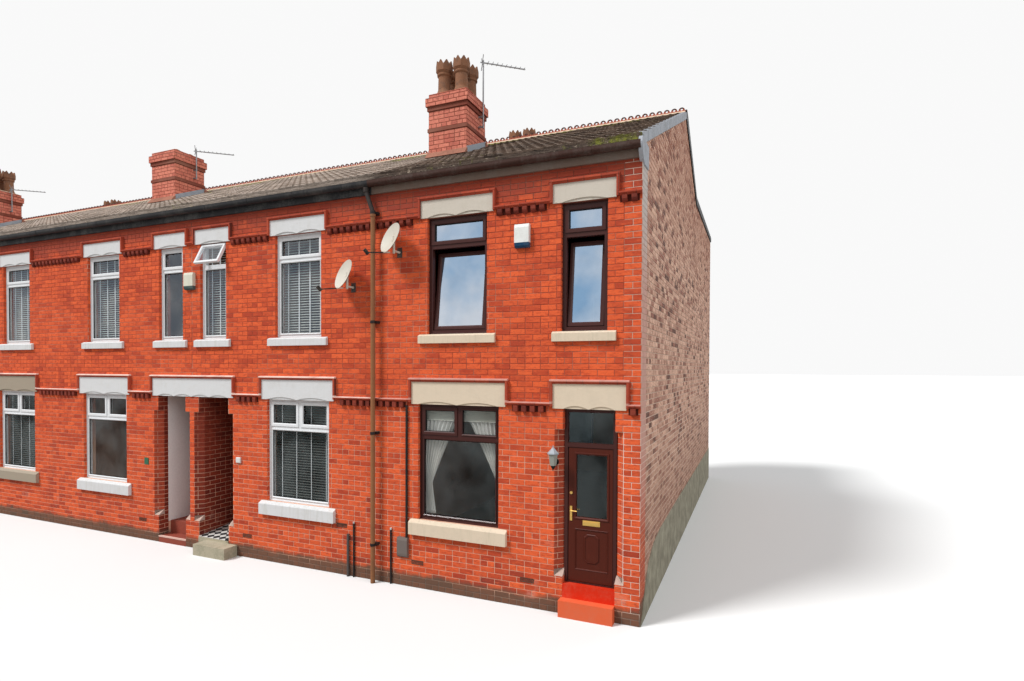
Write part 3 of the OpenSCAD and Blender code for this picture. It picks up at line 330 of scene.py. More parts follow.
class Graph:
    """The nodes of one material or of the world."""

    def __init__(self, owner: Owner) -> None:
        """Empties the owner's nodes.

        Args:
            owner: The material or the world.
        """
        owner.use_nodes = True
        self.owner = owner
        self.tree = owner.node_tree
        self.tree.nodes.clear()

    def node(
        self,
        kind: str,
        settings: Mapping[str, Any] | None = None,
        inputs: Mapping[int | str, Any] | None = None,
        output: int | str = 0,
    ) -> Sock:
        """Adds one node.

        Args:
            kind: The node's type.
            settings: Properties of the node, or the stops of its ramp.
            inputs: Values or links by socket.
            output: The socket that is handed back.

        Returns:
            The wrapped output.
        """
        made = self.tree.nodes.new(kind)
        for key, value in (settings or {}).items():
            if key == "stops":
                self._stops(made.color_ramp, value)
            else:
                setattr(made, key, value)
        for key, value in (inputs or {}).items():
            if isinstance(value, Sock):
                self.tree.links.new(value.out, made.inputs[key])
            elif isinstance(value, tuple) and made.inputs[key].type == "RGBA":
                made.inputs[key].default_value = (*value, 1.0)
            else:
                made.inputs[key].default_value = value
        return Sock(self, made.outputs[output])

    @staticmethod
    def _stops(ramp: bpy.types.ColorRamp, stops: Sequence[tuple[float, Colour]]) -> None:
        """Writes the stops of a colour ramp.

        Args:
            ramp: The ramp.
            stops: Place and colour of each stop.
        """
        while len(ramp.elements) < len(stops):
            ramp.elements.new(1.0)
        for element, (place, colour) in zip(ramp.elements, stops):
            element.position = place
            element.color = (*colour, 1.0)

    @cached_property
    def where(self) -> Sock:
        """Place on the object, in metres."""
        return self.node("ShaderNodeTexCoord", output="Object")

    def axis(self, axis: Axis) -> Sock:
        """One coordinate of the place on the object."""
        return self.node("ShaderNodeSeparateXYZ", None, {0: self.where}, axis.value)

    def stretched(self, factors: Point) -> Sock:
        """The place on the object, stretched along each axis."""
        return self.node("ShaderNodeVectorMath", {"operation": "MULTIPLY"}, {0: self.where, 1: factors})

    def noise(
        self, scale: float, detail: float = 3.0, rough: float = 0.55, vector: Sock | None = None
    ) -> Sock:
        """Soft random values of one size."""
        inputs = {"Vector": vector or self.where, "Scale": scale, "Detail": detail, "Roughness": rough}
        return self.node("ShaderNodeTexNoise", None, inputs, "Fac")

    def chance(self, value: Sock) -> Sock:
        """A random value that belongs to a whole number."""
        return self.node("ShaderNodeTexWhiteNoise", {"noise_dimensions": "1D"}, {"W": value}, "Value")

    def colours(self, value: Sock, stops: Sequence[tuple[float, Colour]]) -> Sock:
        """Colours picked along a ramp."""
        return self.node("ShaderNodeValToRGB", {"stops": stops}, {0: value}, "Color")

    def mix(self, factor: Sock | float, first: Sock | Colour, second: Sock | Colour) -> Sock:
        """Two colours mixed by a factor."""
        return self.node("ShaderNodeMix", {"data_type": "RGBA"}, {0: factor, 6: first, 7: second}, 2)

    def coats(self, colour: Sock | Colour, *coats: tuple[Sock, Colour]) -> Sock | Colour:
        """Lays colours over one another.

        Args:
            colour: The colour below.
            *coats: Share and colour of each coat, the lowest first.

        Returns:
            The mixed colour.
        """
        for share, tint in coats:
            colour = self.mix(share, colour, tint)
        return colour

    def tone(self) -> Sock:
        """The value stored on each brick or tile."""
        return self.node("ShaderNodeAttribute", {"attribute_name": "tone"}, None, "Fac")

    def bump(self, height: Sock, distance: float) -> Sock:
        """A surface normal raised by a height."""
        return self.node("ShaderNodeBump", None, {"Height": height, "Distance": distance, "Strength": 1.0})

    def surface(self, **inputs: Any) -> bpy.types.Material:
        """Closes the material with a plain shader; its sockets are named with underscores for spaces."""
        named = {"Specular IOR Level": 0.15} | {key.replace("_", " "): value for key, value in inputs.items()}
        return self.close(self.node("ShaderNodeBsdfPrincipled", None, named))

    def close(self, shader: Sock, kind: str = "ShaderNodeOutputMaterial") -> Owner:
        """Links a shader to the output and hands back what owns the nodes."""
        self.tree.links.new(shader.out, self.tree.nodes.new(kind).inputs["Surface"])
        return self.owner


@dataclass(frozen=True)
class Finish:
    """Base of all finishes."""

    name: str

    @lru_cache(maxsize=None)
    def material(self) -> bpy.types.Material:
        """The finish's material, made once."""
        return self.build(Graph(bpy.data.materials.new(self.name)))

    def build(self, graph: Graph) -> bpy.types.Material:
        """Draws the finish's nodes."""
        return graph.surface(Base_Color=(0.5, 0.5, 0.5))


@dataclass(frozen=True)
class BrickFinish(Finish):
    """Fired brick with a tone of its own on each brick.

    Args:
        light: Colour of the palest bricks.
        dark: Colour of the deep bricks.
        burnt: Colour of the few burnt bricks.
        sooty: Height below which the bricks are dark.
        rough: How uneven the faces are.
        spread: How much the tones differ from brick to brick.
        washes_and_shade: Heights between which a colour comes in, the colour and its share; on the front brick
            the band under the eaves is painted shade.
    """

    light: Colour = (0.8, 0.14, 0.045)
    dark: Colour = (0.47, 0.058, 0.026)
    burnt: Colour = (0.22, 0.045, 0.03)
    sooty: float = 0.21
    rough: float = 0.0025
    spread: float = 0.62
    washes_and_shade: tuple[tuple[float, float, Colour, float], ...] = ()

    def build(self, graph: Graph) -> bpy.types.Material:
        """Draws the bricks' nodes.

        Args:
            graph: The material's nodes.

        Returns:
            The material.
        """
        tone = graph.tone()
        speck = graph.noise(70.0, 4.0, 0.65)
        cloud = graph.noise(0.9, 3.0)
        up = graph.axis(Axis.UP)
        low = 1.0 - up.ramp(0.3, 1.5)
        mixed = ((tone - 0.5) * self.spread + cloud * 0.5 + 0.25 - low * 0.08).ramp(0.0, 1.0)
        stops = ((0.0, self.burnt), (0.07, self.dark), (0.4, self._middle()), (1.0, self.light))
        fine = graph.noise(1.0, 4.0, 0.75, graph.stretched((9.0, 9.0, 30.0)))
        blot = graph.noise(1.0, 3.0, 0.7, graph.stretched((16.0, 16.0, 34.0)))
        streak = graph.noise(1.0, 5.0, 0.6, graph.stretched((3.0, 3.0, 0.45)))
        pale = graph.noise(2.2, 5.0, 0.7)
        soot = (up + (pale - 0.5) * 0.25).ramp(self.sooty - 0.04, self.sooty + 0.04)
        rise = up + (pale - 0.5) * 0.8
        colour = graph.coats(
            graph.colours(mixed, stops),
            (fine.ramp(0.5, 0.62) * 0.6, self.dark),
            ((1.0 - fine).ramp(0.54, 0.66) * 0.5, self.light),
            (blot.ramp(0.58, 0.68) * 0.55, self.burnt),
            ((speck - 0.5).ramp(0.0, 0.35) * 0.4, self.dark),
            (streak.ramp(0.58, 0.8) * 0.4, self.burnt),
            (pale.ramp(0.6, 0.74) * (low * 0.3 + 0.04), (0.62, 0.42, 0.34)),
            # Coats each band of height with its colour; on the front brick the band under the eaves is painted
            # shade.
            *((rise.ramp(start, full) * share, wash) for start, full, wash, share in self.washes_and_shade),
            ((1.0 - soot) * 0.85, (0.095, 0.08, 0.055)),
        )
        normal = graph.bump(speck, self.rough)
        return graph.surface(Base_Color=colour, Roughness=0.62 + speck * 0.25, Normal=normal)

    def _middle(self) -> Colour:
        """Colour of the common bricks."""
        return tuple(0.45 * d + 0.55 * l for d, l in zip(self.dark, self.light))


@dataclass(frozen=True)
class MortarFinish(Finish):
    """Mortar, paler where it was pointed again.

    Args:
        light: Colour where it was pointed again.
        dark: Colour of the old mortar.
        eaves_shade: Share of the painted shade under the eaves and above.
    """

    light: Colour = (0.8, 0.48, 0.34)
    dark: Colour = (0.4, 0.09, 0.05)
    eaves_shade: float = 0.0

    def build(self, graph: Graph) -> bpy.types.Material:
        """Draws the mortar's nodes.

        Args:
            graph: The material's nodes.

        Returns:
            The material.
        """
        grain = graph.noise(180.0, 3.0)
        patch = graph.noise(0.8, 4.0, 0.6)
        up = graph.axis(Axis.UP)
        low = 1.0 - up.ramp(0.8, 3.4)
        foot = 1.0 - (up + (patch - 0.5) * 0.35).ramp(0.12, 0.22)
        # Painted shade: the mortar darkens from 5.6 m up to the eaves, matching the shaded brick there.
        eaves = (up + (patch - 0.5) * 0.4).ramp(5.6, 5.85)
        colour = graph.coats(
            self.dark,
            ((patch + low * 0.35).ramp(0.48, 0.76), self.light),
            (grain * 0.3, (0.26, 0.1, 0.07)),
            (foot * 0.85, (0.13, 0.11, 0.09)),
            (eaves * self.eaves_shade, (0.17, 0.05, 0.035)),
        )
        return graph.surface(Base_Color=colour, Roughness=0.9, Normal=graph.bump(grain, 0.002))


@dataclass(frozen=True)
class StoneFinish(Finish):
    """Stone dressings: cream on the end house, painted on the next ones, bare and stained beyond.

    Args:
        cream: Colour on the end house.
        dull: Colour of its upper dressings.
        white: Colour of the paint.
        bare: Colour of the bare stone.
    """

    cream: Colour = (0.7, 0.58, 0.44)
    dull: Colour = (0.6, 0.54, 0.46)
    white: Colour = (0.68, 0.68, 0.68)
    bare: Colour = (0.36, 0.3, 0.23)

    def build(self, graph: Graph) -> bpy.types.Material:
        """Draws the stone's nodes.

        Args:
            graph: The material's nodes.

        Returns:
            The material.
        """
        along = graph.axis(Axis.ALONG)
        up = graph.axis(Axis.UP)
        grime = graph.noise(5.0, 6.0, 0.7)
        chip = graph.noise(26.0, 3.0, 0.6)
        run = graph.noise(1.0, 4.0, 0.6, graph.stretched((22.0, 22.0, 1.6)))
        edges = up.within(2.86, 2.9).most(up.within(5.7, 5.74))
        sill = up.within(0.8, 1.1).most(up.within(3.7, 4.0))
        colour = graph.mix(along > 8.24, self.white, graph.mix(up > 5.0, self.cream, self.dull))
        colour = graph.coats(
            colour,
            ((along < -0.02) * (up < 3.5), self.bare),
            (grime.ramp(0.5, 0.8) * 0.22, (0.4, 0.36, 0.28)),
            (chip.ramp(0.64, 0.7) * (edges * 0.5 + 0.12), (0.36, 0.24, 0.17)),
            (run.ramp(0.5, 0.8) * (sill * 0.25 + 0.08), (0.34, 0.33, 0.22)),
        )
        height = chip * 0.6 + grime
        return graph.surface(Base_Color=colour, Roughness=0.7, Normal=graph.bump(height, 0.003))


@dataclass(frozen=True)
class TileFinish(Finish):
    """Weathered roof tiles with moss and lichen.

    Args:
        light: Colour of the palest tiles.
        dark: Colour of the deepest ones.
        moss: Colour of the moss.
        mossy: How much of the roof is free of moss.
    """

    light: Colour = (0.58, 0.48, 0.41)
    dark: Colour = (0.16, 0.125, 0.1)
    moss: Colour = (0.26, 0.27, 0.04)
    mossy: float = 0.7

    def build(self, graph: Graph) -> bpy.types.Material:
        """Draws the tiles' nodes.

        Args:
            graph: The material's nodes.

        Returns:
            The material.
        """
        along, up, deep = (graph.axis(axis) for axis in (Axis.ALONG, Axis.UP, Axis.DEEP))
        tone = graph.tone()
        grain = graph.noise(55.0, 5.0, 0.7)
        cloud = graph.noise(0.7, 3.0)
        line = graph.noise(1.0, 5.0, 0.7, graph.stretched((4.0, 38.0, 38.0)))
        end_house = along.ramp(8.0, 8.5) * (1.0 - deep.ramp(-0.2, 0.2))
        light = graph.mix(end_house, self.light, (0.24, 0.17, 0.13))
        dark = graph.mix(end_house, self.dark, (0.028, 0.021, 0.018))
        lichen = graph.noise(14.0, 6.0, 0.8, graph.stretched((0.6, 1.0, 1.0)))
        high = up.ramp(7.9, 8.6) * 0.11 + (1.0 - up.ramp(6.5, 6.75)) * along.ramp(10.4, 11.8) * 0.13
        high = high + along.within(8.8, 10.2) * up.ramp(7.7, 8.4) * 0.1
        growth = graph.noise(7.0, 6.0, 0.75) * 0.5 + cloud * 0.6 + high
        growth = growth.ramp(self.mossy - 0.04, self.mossy + 0.05)
        colour = graph.coats(
            graph.mix((tone * 0.35 + grain * 0.5 + line * 0.9 - 0.4).ramp(0.1, 0.75), dark, light),
            (lichen.ramp(0.57, 0.63) * 0.6, (0.55, 0.44, 0.34)),
            ((1.0 - lichen).ramp(0.58, 0.64) * 0.5, (0.045, 0.035, 0.03)),
            (growth * 0.8, self.moss),
        )
        height = grain * 0.6 + line * 1.2 + growth
        return graph.surface(Base_Color=colour, Roughness=0.88, Normal=graph.bump(height, 0.012))


@dataclass(frozen=True)
class ClayFinish(Finish):
    """Terracotta, with soot and lichen.

    Args:
        light: Colour of the palest clay.
        dark: Colour of the deepest.
        soot: How much of it is free of soot.
        capped: Heights between which it turns black.
    """

    light: Colour = (0.5, 0.17, 0.09)
    dark: Colour = (0.2, 0.075, 0.05)
    soot: float = 0.5
    capped: tuple[float, float] = (20.0, 21.0)

    def build(self, graph: Graph) -> bpy.types.Material:
        """Draws the clay's nodes.

        Args:
            graph: The material's nodes.

        Returns:
            The material.
        """
        grain = graph.noise(60.0, 4.0, 0.65)
        cloud = graph.noise(6.0, 5.0, 0.7)
        colour = graph.coats(
            self.dark,
            ((graph.tone() * 0.5 + cloud * 0.6 - 0.05).ramp(0.0, 1.0), self.light),
            (cloud.ramp(self.soot, self.soot + 0.2) * 0.6, (0.07, 0.055, 0.05)),
            (grain.ramp(0.6, 0.7) * 0.4, (0.6, 0.45, 0.32)),
            (graph.axis(Axis.UP).ramp(*self.capped) * 0.85, (0.05, 0.045, 0.045)),
        )
        return graph.surface(Base_Color=colour, Roughness=0.82, Normal=graph.bump(grain, 0.003))


@dataclass(frozen=True)
class PlainFinish(Finish):
    """Paint, plastic or metal with slight wear.

    Args:
        colour: Main colour.
        worn: Colour of worn and dirty places.
        wear: Share of the surface that is worn.
        rough: Roughness.
        metal: Metallic value.
        grain: Stretch of the fine grain along each axis.
        relief: Height of the grain in metres.
        coat: Weight of the clear coat.
    """

    colour: Colour = (0.5, 0.5, 0.5)
    worn: Colour = (0.3, 0.3, 0.3)
    wear: float = 0.3
    rough: float = 0.45
    metal: float = 0.0
    grain: Point = (40.0, 40.0, 40.0)
    relief: float = 0.0006
    coat: float = 0.0

    def build(self, graph: Graph) -> bpy.types.Material:
        """Draws the paint's nodes.

        Args:
            graph: The material's nodes.

        Returns:
            The material.
        """
        grain = graph.noise(1.0, 4.0, 0.6, graph.stretched(self.grain))
        patch = graph.noise(3.5, 5.0, 0.7)
        worn = (patch * 0.7 + grain * 0.3).ramp(0.64 - self.wear * 0.3, 0.86 - self.wear * 0.3)
        tint = tuple(c * 0.8 for c in self.colour)
        colour = graph.coats(self.colour, (worn * 0.7, self.worn), (grain.ramp(0.4, 0.7) * 0.35, tint))
        return graph.surface(
            Base_Color=colour,
            Roughness=(grain * 0.2 + self.rough).ramp(0.0, 1.0),
            Metallic=self.metal,
            Coat_Weight=self.coat,
            Normal=graph.bump(grain, self.relief),
        )


@dataclass(frozen=True)
class GlassFinish(Finish):
    """A pane: part mirror, part see-through.

    Args:
        mirror: Share that reflects when seen straight on.
        tint: Colour of what is seen through it.
        sheen: Colour painted into the reflection, standing in for the sky and street round the pane.
        cloud_sheen: Second colour of the painted reflection, in cloudy patches.
        clouds: How small the patches are.
    """

    mirror: float = 0.12
    tint: Colour = (0.75, 0.82, 0.82)
    sheen: Colour = (0.9, 0.95, 1.0)
    cloud_sheen: Colour = (0.9, 0.95, 1.0)
    clouds: float = 1.2

    def build(self, graph: Graph) -> bpy.types.Material:
        """Draws the pane's nodes.

        Args:
            graph: The material's nodes.

        Returns:
            The material.
        """
        clear = graph.node("ShaderNodeBsdfTransparent", None, {"Color": self.tint})
        ripple = graph.bump(graph.noise(1.4, 1.0), 0.004)
        # Painted reflection: cloudy patches of two colours tint the mirror, standing in for reflected sky and
        # surroundings.
        cloud = graph.noise(self.clouds, 4.0, 0.5).ramp(0.38, 0.64)
        sheen = graph.mix(cloud, self.sheen, self.cloud_sheen)
        inputs = {"Base Color": sheen, "Metallic": 1.0, "Roughness": 0.03, "Normal": ripple}
        gloss = graph.node("ShaderNodeBsdfPrincipled", None, inputs)
        edge = graph.node("ShaderNodeFresnel", None, {"IOR": 1.5})
        smear = graph.noise(4.0, 4.0, 0.6)
        front = 1.0 - graph.node("ShaderNodeNewGeometry", output="Backfacing")
        share = (edge * (1.0 - self.mirror) + self.mirror) * (0.9 + smear * 0.2) * front
        inputs = {0: share.ramp(0.0, 1.0), 1: clear, 2: gloss}
        return graph.close(graph.node("ShaderNodeMixShader", None, inputs))


@dataclass(frozen=True)
class ZoneFinish(Finish):
    """Paint or plastic whose colour goes by the place on the row.

    Args:
        base: Colour outside the zones.
        zones: Left, right, low and top edges of each zone, and its colour.
        dirt: Colour of the dirt.
        soiled: Share of the dirt.
        rough: Roughness.
        metal: Metallic value.
        depths: Left, right, near and far edges of each zone of depth, and its colour.
    """

    base: Colour = (0.5, 0.5, 0.5)
    zones: tuple[tuple[float, float, float, float, Colour], ...] = ()
    dirt: Colour = (0.2, 0.16, 0.13)
    soiled: float = 0.3
    rough: float = 0.45
    metal: float = 0.0
    depths: tuple[tuple[float, float, float, float, Colour], ...] = ()

    def build(self, graph: Graph) -> bpy.types.Material:
        """Draws the zones' nodes.

        Args:
            graph: The material's nodes.

        Returns:
            The material.
        """
        along, up, deep = (graph.axis(axis) for axis in (Axis.ALONG, Axis.UP, Axis.DEEP))
        grain = graph.noise(30.0, 4.0, 0.65)
        patch = graph.noise(3.0, 6.0, 0.7, graph.stretched((1.0, 1.0, 0.6)))
        colour = graph.coats(
            self.base,
            *((along.within(*z[:2]) * up.within(*z[2:4]), z[4]) for z in self.zones),
            *((along.within(*z[:2]) * deep.within(*z[2:4]), z[4]) for z in self.depths),
            ((patch * 0.7 + grain * 0.3).ramp(0.48, 0.66) * self.soiled, self.dirt),
        )
        return graph.surface(
            Base_Color=colour, Roughness=self.rough, Metallic=self.metal, Normal=graph.bump(grain, 0.0008)
        )


@dataclass(frozen=True)
class SpecialFinish(Finish):
    """Moulded bricks laid end to end, with dark joints.

    Args:
        light: Colour of the palest ones.
        dark: Colour of the deepest ones.
        length: Length of one with its joint.
    """

    light: Colour = (0.56, 0.1, 0.045)
    dark: Colour = (0.27, 0.04, 0.024)
    length: float = 0.235

    def build(self, graph: Graph) -> bpy.types.Material:
        """Draws the moulded bricks' nodes.

        Args:
            graph: The material's nodes.

        Returns:
            The material.
        """
        along = graph.axis(Axis.ALONG)
        chance = graph.chance(along.step(self.length))
        speck = graph.noise(50.0, 4.0, 0.65)
        cloud = graph.noise(4.0, 4.0, 0.65)
        joint = along.part(self.length) < 0.035
        up = graph.axis(Axis.UP)
        # Pale band on the tops of the ground-floor hoods and strings: partly mortar on their tops, partly a
        # painted highlight where they catch the light; fainter on the end house.
        edge = up.within(3.242, 3.28).most(up.within(2.929, 2.96))
        share = (1.0 - along.ramp(8.2, 8.3) * 0.6) * (cloud.ramp(0.3, 0.55) * 0.4 + 0.6)
        colour = graph.coats(
            self.dark,
            ((chance * 0.5 + cloud * 0.6 - 0.1).ramp(0.0, 1.0), self.light),
            (joint * 0.7, (0.06, 0.03, 0.025)),
            (speck.ramp(0.6, 0.75) * 0.35, (0.5, 0.3, 0.24)),
            (edge * share, (0.78, 0.58, 0.5)),
        )
        return graph.surface(Base_Color=colour, Roughness=0.75, Normal=graph.bump(speck, 0.003))


@dataclass(frozen=True)
class ClothFinish(Finish):
    """Woven cloth, or thin net when the weave is open.

    Args:
        colour: Colour of the threads.
        pitch: Distance from thread to thread.
        cover: How dense the thinnest places are.
    """

    colour: Colour = (0.75, 0.74, 0.72)
    pitch: float = 0.004
    cover: float = 1.0

    def build(self, graph: Graph) -> bpy.types.Material:
        """Draws the cloth's nodes.

        Args:
            graph: The material's nodes.

        Returns:
            The material.
        """
        turn = 2 * math.pi / self.pitch
        settings = {"operation": "SINE"}
        warp = graph.node("ShaderNodeMath", settings, {0: graph.axis(Axis.ALONG) * turn})
        weft = graph.node("ShaderNodeMath", settings, {0: graph.axis(Axis.UP) * turn})
        weave = (warp * 0.25 + weft * 0.25 + 0.5).ramp(0.0, 1.0)
        shade = tuple(c * 0.72 for c in self.colour)
        colour = graph.mix(weave * 0.5 + graph.noise(9.0) * 0.3, self.colour, shade)
        alpha = (weave * (1.0 - self.cover) + self.cover).ramp(0.0, 1.0) if self.cover < 1.0 else 1.0
        return graph.surface(Base_Color=colour, Roughness=0.9, Alpha=alpha, Normal=graph.bump(weave, 0.0008))


class Shop:
    """The finishes that are used on the row."""

    # Painted shade: the front brick darkens from 5.68 m up to the eaves, as if in their shadow.
    brick = BrickFinish(
        "pressed_brick", (0.84, 0.14, 0.042), (0.42, 0.054, 0.024), spread=0.75,
        washes_and_shade=((5.68, 5.98, (0.26, 0.045, 0.028), 0.8),),
    )
    gable = BrickFinish(
        "common_brick", (0.85, 0.55, 0.41), (0.33, 0.14, 0.1), (0.1, 0.05, 0.04), sooty=-1.0, rough=0.008,
        spread=1.1, washes_and_shade=((5.4, 8.2, (0.36, 0.14, 0.08), 0.45), (2.8, 1.2, (0.36, 0.2, 0.14), 0.6)),
    )
    corner = BrickFinish(
        "corner_brick", (0.62, 0.16, 0.08), (0.42, 0.09, 0.05), sooty=0.3,
        washes_and_shade=((1.1, 2.4, (0.6, 0.38, 0.32), 0.8), (4.4, 5.6, (0.56, 0.53, 0.5), 0.85)),
    )
    # Dark brick of the porch sides; on the pier's right-facing splay it also paints that face's shade.
    inner = BrickFinish("porch_brick", (0.3, 0.05, 0.024), (0.14, 0.022, 0.015), (0.05, 0.015, 0.012), 0.2)
    # Painted shade: a darker copy of the front brick, for splays that face away from the key light.
    splay = BrickFinish("shaded_splay_brick", (0.5, 0.085, 0.036), (0.26, 0.04, 0.022), (0.1, 0.025, 0.018))
    # Painted shadow: a near-black strip laid behind the teeth, where the strings cast their shade.
    gap = PlainFinish("tooth_shadow", (0.09, 0.018, 0.012), (0.05, 0.012, 0.01), 0.3, 0.9)
    # Its joints under the eaves take the same painted shade as the front brick.
    mortar = MortarFinish("red_mortar", eaves_shade=0.75)
    pale_mortar = MortarFinish("pale_mortar", (0.86, 0.7, 0.59), (0.62, 0.45, 0.35))
    moulded = SpecialFinish("moulded_brick")
    # Painted shade: the teeth are a much darker brick, standing in for the shadow of the strings above them.
    shaded_teeth = BrickFinish("shaded_toothed_brick", (0.28, 0.05, 0.028), (0.12, 0.022, 0.016), (0.05, 0.018, 0.014), -1.0)
    stack = BrickFinish("stack_brick", (0.8, 0.28, 0.19), (0.48, 0.12, 0.085), (0.13, 0.05, 0.04), -1.0)
    stone = StoneFinish("painted_stone")
    stop = PlainFinish("splay_stop", (0.5, 0.36, 0.3), (0.3, 0.2, 0.16), 0.5, 0.8, relief=0.003)
    tile = TileFinish("roof_tile")
    rear_tile = TileFinish("rear_tile", (0.33, 0.26, 0.21), (0.14, 0.11, 0.095), mossy=0.78)
    ridge = ClayFinish("ridge_clay", (0.5, 0.14, 0.08), (0.26, 0.07, 0.045), 0.62, (8.775, 8.79))
    pot = ClayFinish("pot_clay", (0.5, 0.24, 0.13), (0.2, 0.09, 0.05), 0.46)
    brown = PlainFinish("brown_plastic", (0.06, 0.018, 0.015), (0.15, 0.06, 0.05), 0.15, 0.3, coat=0.15)
    white = PlainFinish("white_plastic", (0.78, 0.79, 0.8), (0.55, 0.54, 0.5), 0.2, 0.35)
    door = PlainFinish(
        "brown_door", (0.08, 0.013, 0.006), (0.15, 0.035, 0.02), 0.15, 0.28, grain=(90.0, 90.0, 4.0), coat=0.15
    )
    black = PlainFinish("black_plastic", (0.02, 0.02, 0.022), (0.09, 0.085, 0.08), 0.35, 0.4)
    gutter = ZoneFinish(
        "gutter_plastic", (0.02, 0.02, 0.022), ((8.26, 13.0, 0.0, 9.0, (0.05, 0.022, 0.016)),),
        (0.2, 0.18, 0.16), 0.25,
    )
    fascia = ZoneFinish(
        "fascia_board", (0.03, 0.03, 0.032), ((8.26, 13.0, 0.0, 9.0, (0.2, 0.14, 0.11)),),
        (0.3, 0.29, 0.27), 0.3, 0.6,
    )
    pipe = ZoneFinish(
        "pipe_paint",
        (0.29, 0.125, 0.055),
        (
            (8.0, 8.5, 5.86, 7.0, (0.035, 0.028, 0.026)),
            *((8.2, 8.5, z - 0.002, z + 0.042, (0.02, 0.018, 0.018)) for z in (0.59, 2.364, 4.124, 5.84)),
            (8.52, 9.2, 0.0, 7.0, (0.02, 0.02, 0.02)),
            (7.6, 8.0, 0.0, 7.0, (0.1, 0.085, 0.08)),
            (7.82, 8.0, 0.0, 0.88, (0.02, 0.02, 0.02)),
            (7.82, 8.0, 0.88, 1.0, (0.6, 0.6, 0.58)),
            (8.56, 8.68, 0.86, 1.0, (0.6, 0.6, 0.58)),
        ),
        (0.09, 0.05, 0.035), 0.45, 0.5,
    )
    fittings = ZoneFinish(
        "wall_fittings",
        (0.1, 0.045, 0.03),
        (
            (10.6, 11.1, 5.0, 5.6, (0.8, 0.81, 0.78)),
            (10.6, 11.1, 5.0, 5.2, (0.012, 0.06, 0.13)),
            (3.9, 4.3, 4.7, 5.3, (0.7, 0.68, 0.56)),
            (3.9, 4.3, 4.7, 4.94, (0.05, 0.09, 0.09)),
            (8.7, 9.0, 0.45, 0.9, (0.17, 0.14, 0.125)),
            (5.2, 5.45, 1.6, 1.9, (0.7, 0.7, 0.68)),
            (2.7, 2.95, 1.4, 1.7, (0.04, 0.14, 0.08)),
            (11.1, 11.6, 1.9, 2.081, (0.02, 0.02, 0.02)),
            (11.1, 11.6, 2.081, 2.236, (0.3, 0.31, 0.27)),
            (11.1, 11.6, 2.236, 2.45, (0.36, 0.39, 0.42)),
        ),
        (0.3, 0.27, 0.22), 0.2, depths=((11.1, 11.6, -4.8, -4.7, (0.015, 0.015, 0.015)),),
    )
    lead = PlainFinish("lead_sheet", (0.33, 0.36, 0.4), (0.55, 0.56, 0.57), 0.5, 0.55, 0.4, relief=0.002)
    cement = PlainFinish(
        "cement", (0.44, 0.46, 0.5), (0.26, 0.26, 0.26), 0.6, 0.9, grain=(30.0, 30.0, 30.0), relief=0.004
    )
    fillet = PlainFinish("fillet_cement", (0.36, 0.16, 0.11), (0.13, 0.07, 0.05), 0.6, 0.9, relief=0.003)
    render = PlainFinish(
        "cement_render", (0.4, 0.37, 0.28), (0.13, 0.115, 0.085), 0.85, 0.9,
        grain=(12.0, 12.0, 3.0), relief=0.004,
    )
    bedding = PlainFinish("bedding", (0.72, 0.55, 0.4), (0.45, 0.34, 0.25), 0.4, 0.9, relief=0.004)
    red_paint = ZoneFinish(
        "red_step_paint", (0.62, 0.027, 0.007), ((10.0, 13.0, -0.1, 0.2315, (0.74, 0.13, 0.05)),),
        (0.6, 0.2, 0.12), 0.3, 0.45,
    )
    nosing = PlainFinish("step_nosing", (0.74, 0.48, 0.4), (0.4, 0.2, 0.15), 0.4, 0.6)
    wall_white = PlainFinish("white_wash", (0.92, 0.9, 0.88), (0.75, 0.72, 0.68), 0.2, 0.8, relief=0.002)
    timber = PlainFinish(
        "floor_timber", (0.32, 0.2, 0.11), (0.2, 0.12, 0.07), 0.4, 0.7, grain=(3.0, 60.0, 60.0)
    )
    panel_door = PlainFinish("porch_door_paint", (0.06, 0.1, 0.09), (0.03, 0.04, 0.04), 0.3, 0.4)
    flag = PlainFinish("stone_flag", (0.46, 0.41, 0.3), (0.16, 0.17, 0.11), 0.6, 0.85, relief=0.004)
    silver = PlainFinish("aluminium", (0.3, 0.3, 0.31), (0.15, 0.14, 0.14), 0.4, 0.45, 0.6)
    dish = ZoneFinish(
        "dish_enamel", (0.62, 0.58, 0.5), (), (0.42, 0.32, 0.22), 0.4, 0.5,
        depths=(
            (0.0, 13.0, -4.765, -4.7, (0.05, 0.05, 0.05)),
            (0.0, 13.0, -5.6, -5.08, (0.025, 0.025, 0.025)),
        ),
    )
    brass = PlainFinish("brass", (0.85, 0.55, 0.16), (0.5, 0.32, 0.12), 0.2, 0.3, 0.8)
    tile_black = PlainFinish("black_floor_tile", (0.025, 0.024, 0.026), (0.08, 0.075, 0.07), 0.3, 0.35)
    tile_white = PlainFinish("white_floor_tile", (0.66, 0.64, 0.6), (0.45, 0.42, 0.37), 0.35, 0.35)
    tile_red = PlainFinish("red_floor_tile", (0.3, 0.07, 0.045), (0.14, 0.05, 0.04), 0.4, 0.5)
    rubber = PlainFinish("gasket", (0.012, 0.012, 0.013), (0.03, 0.03, 0.03), 0.2, 0.6)
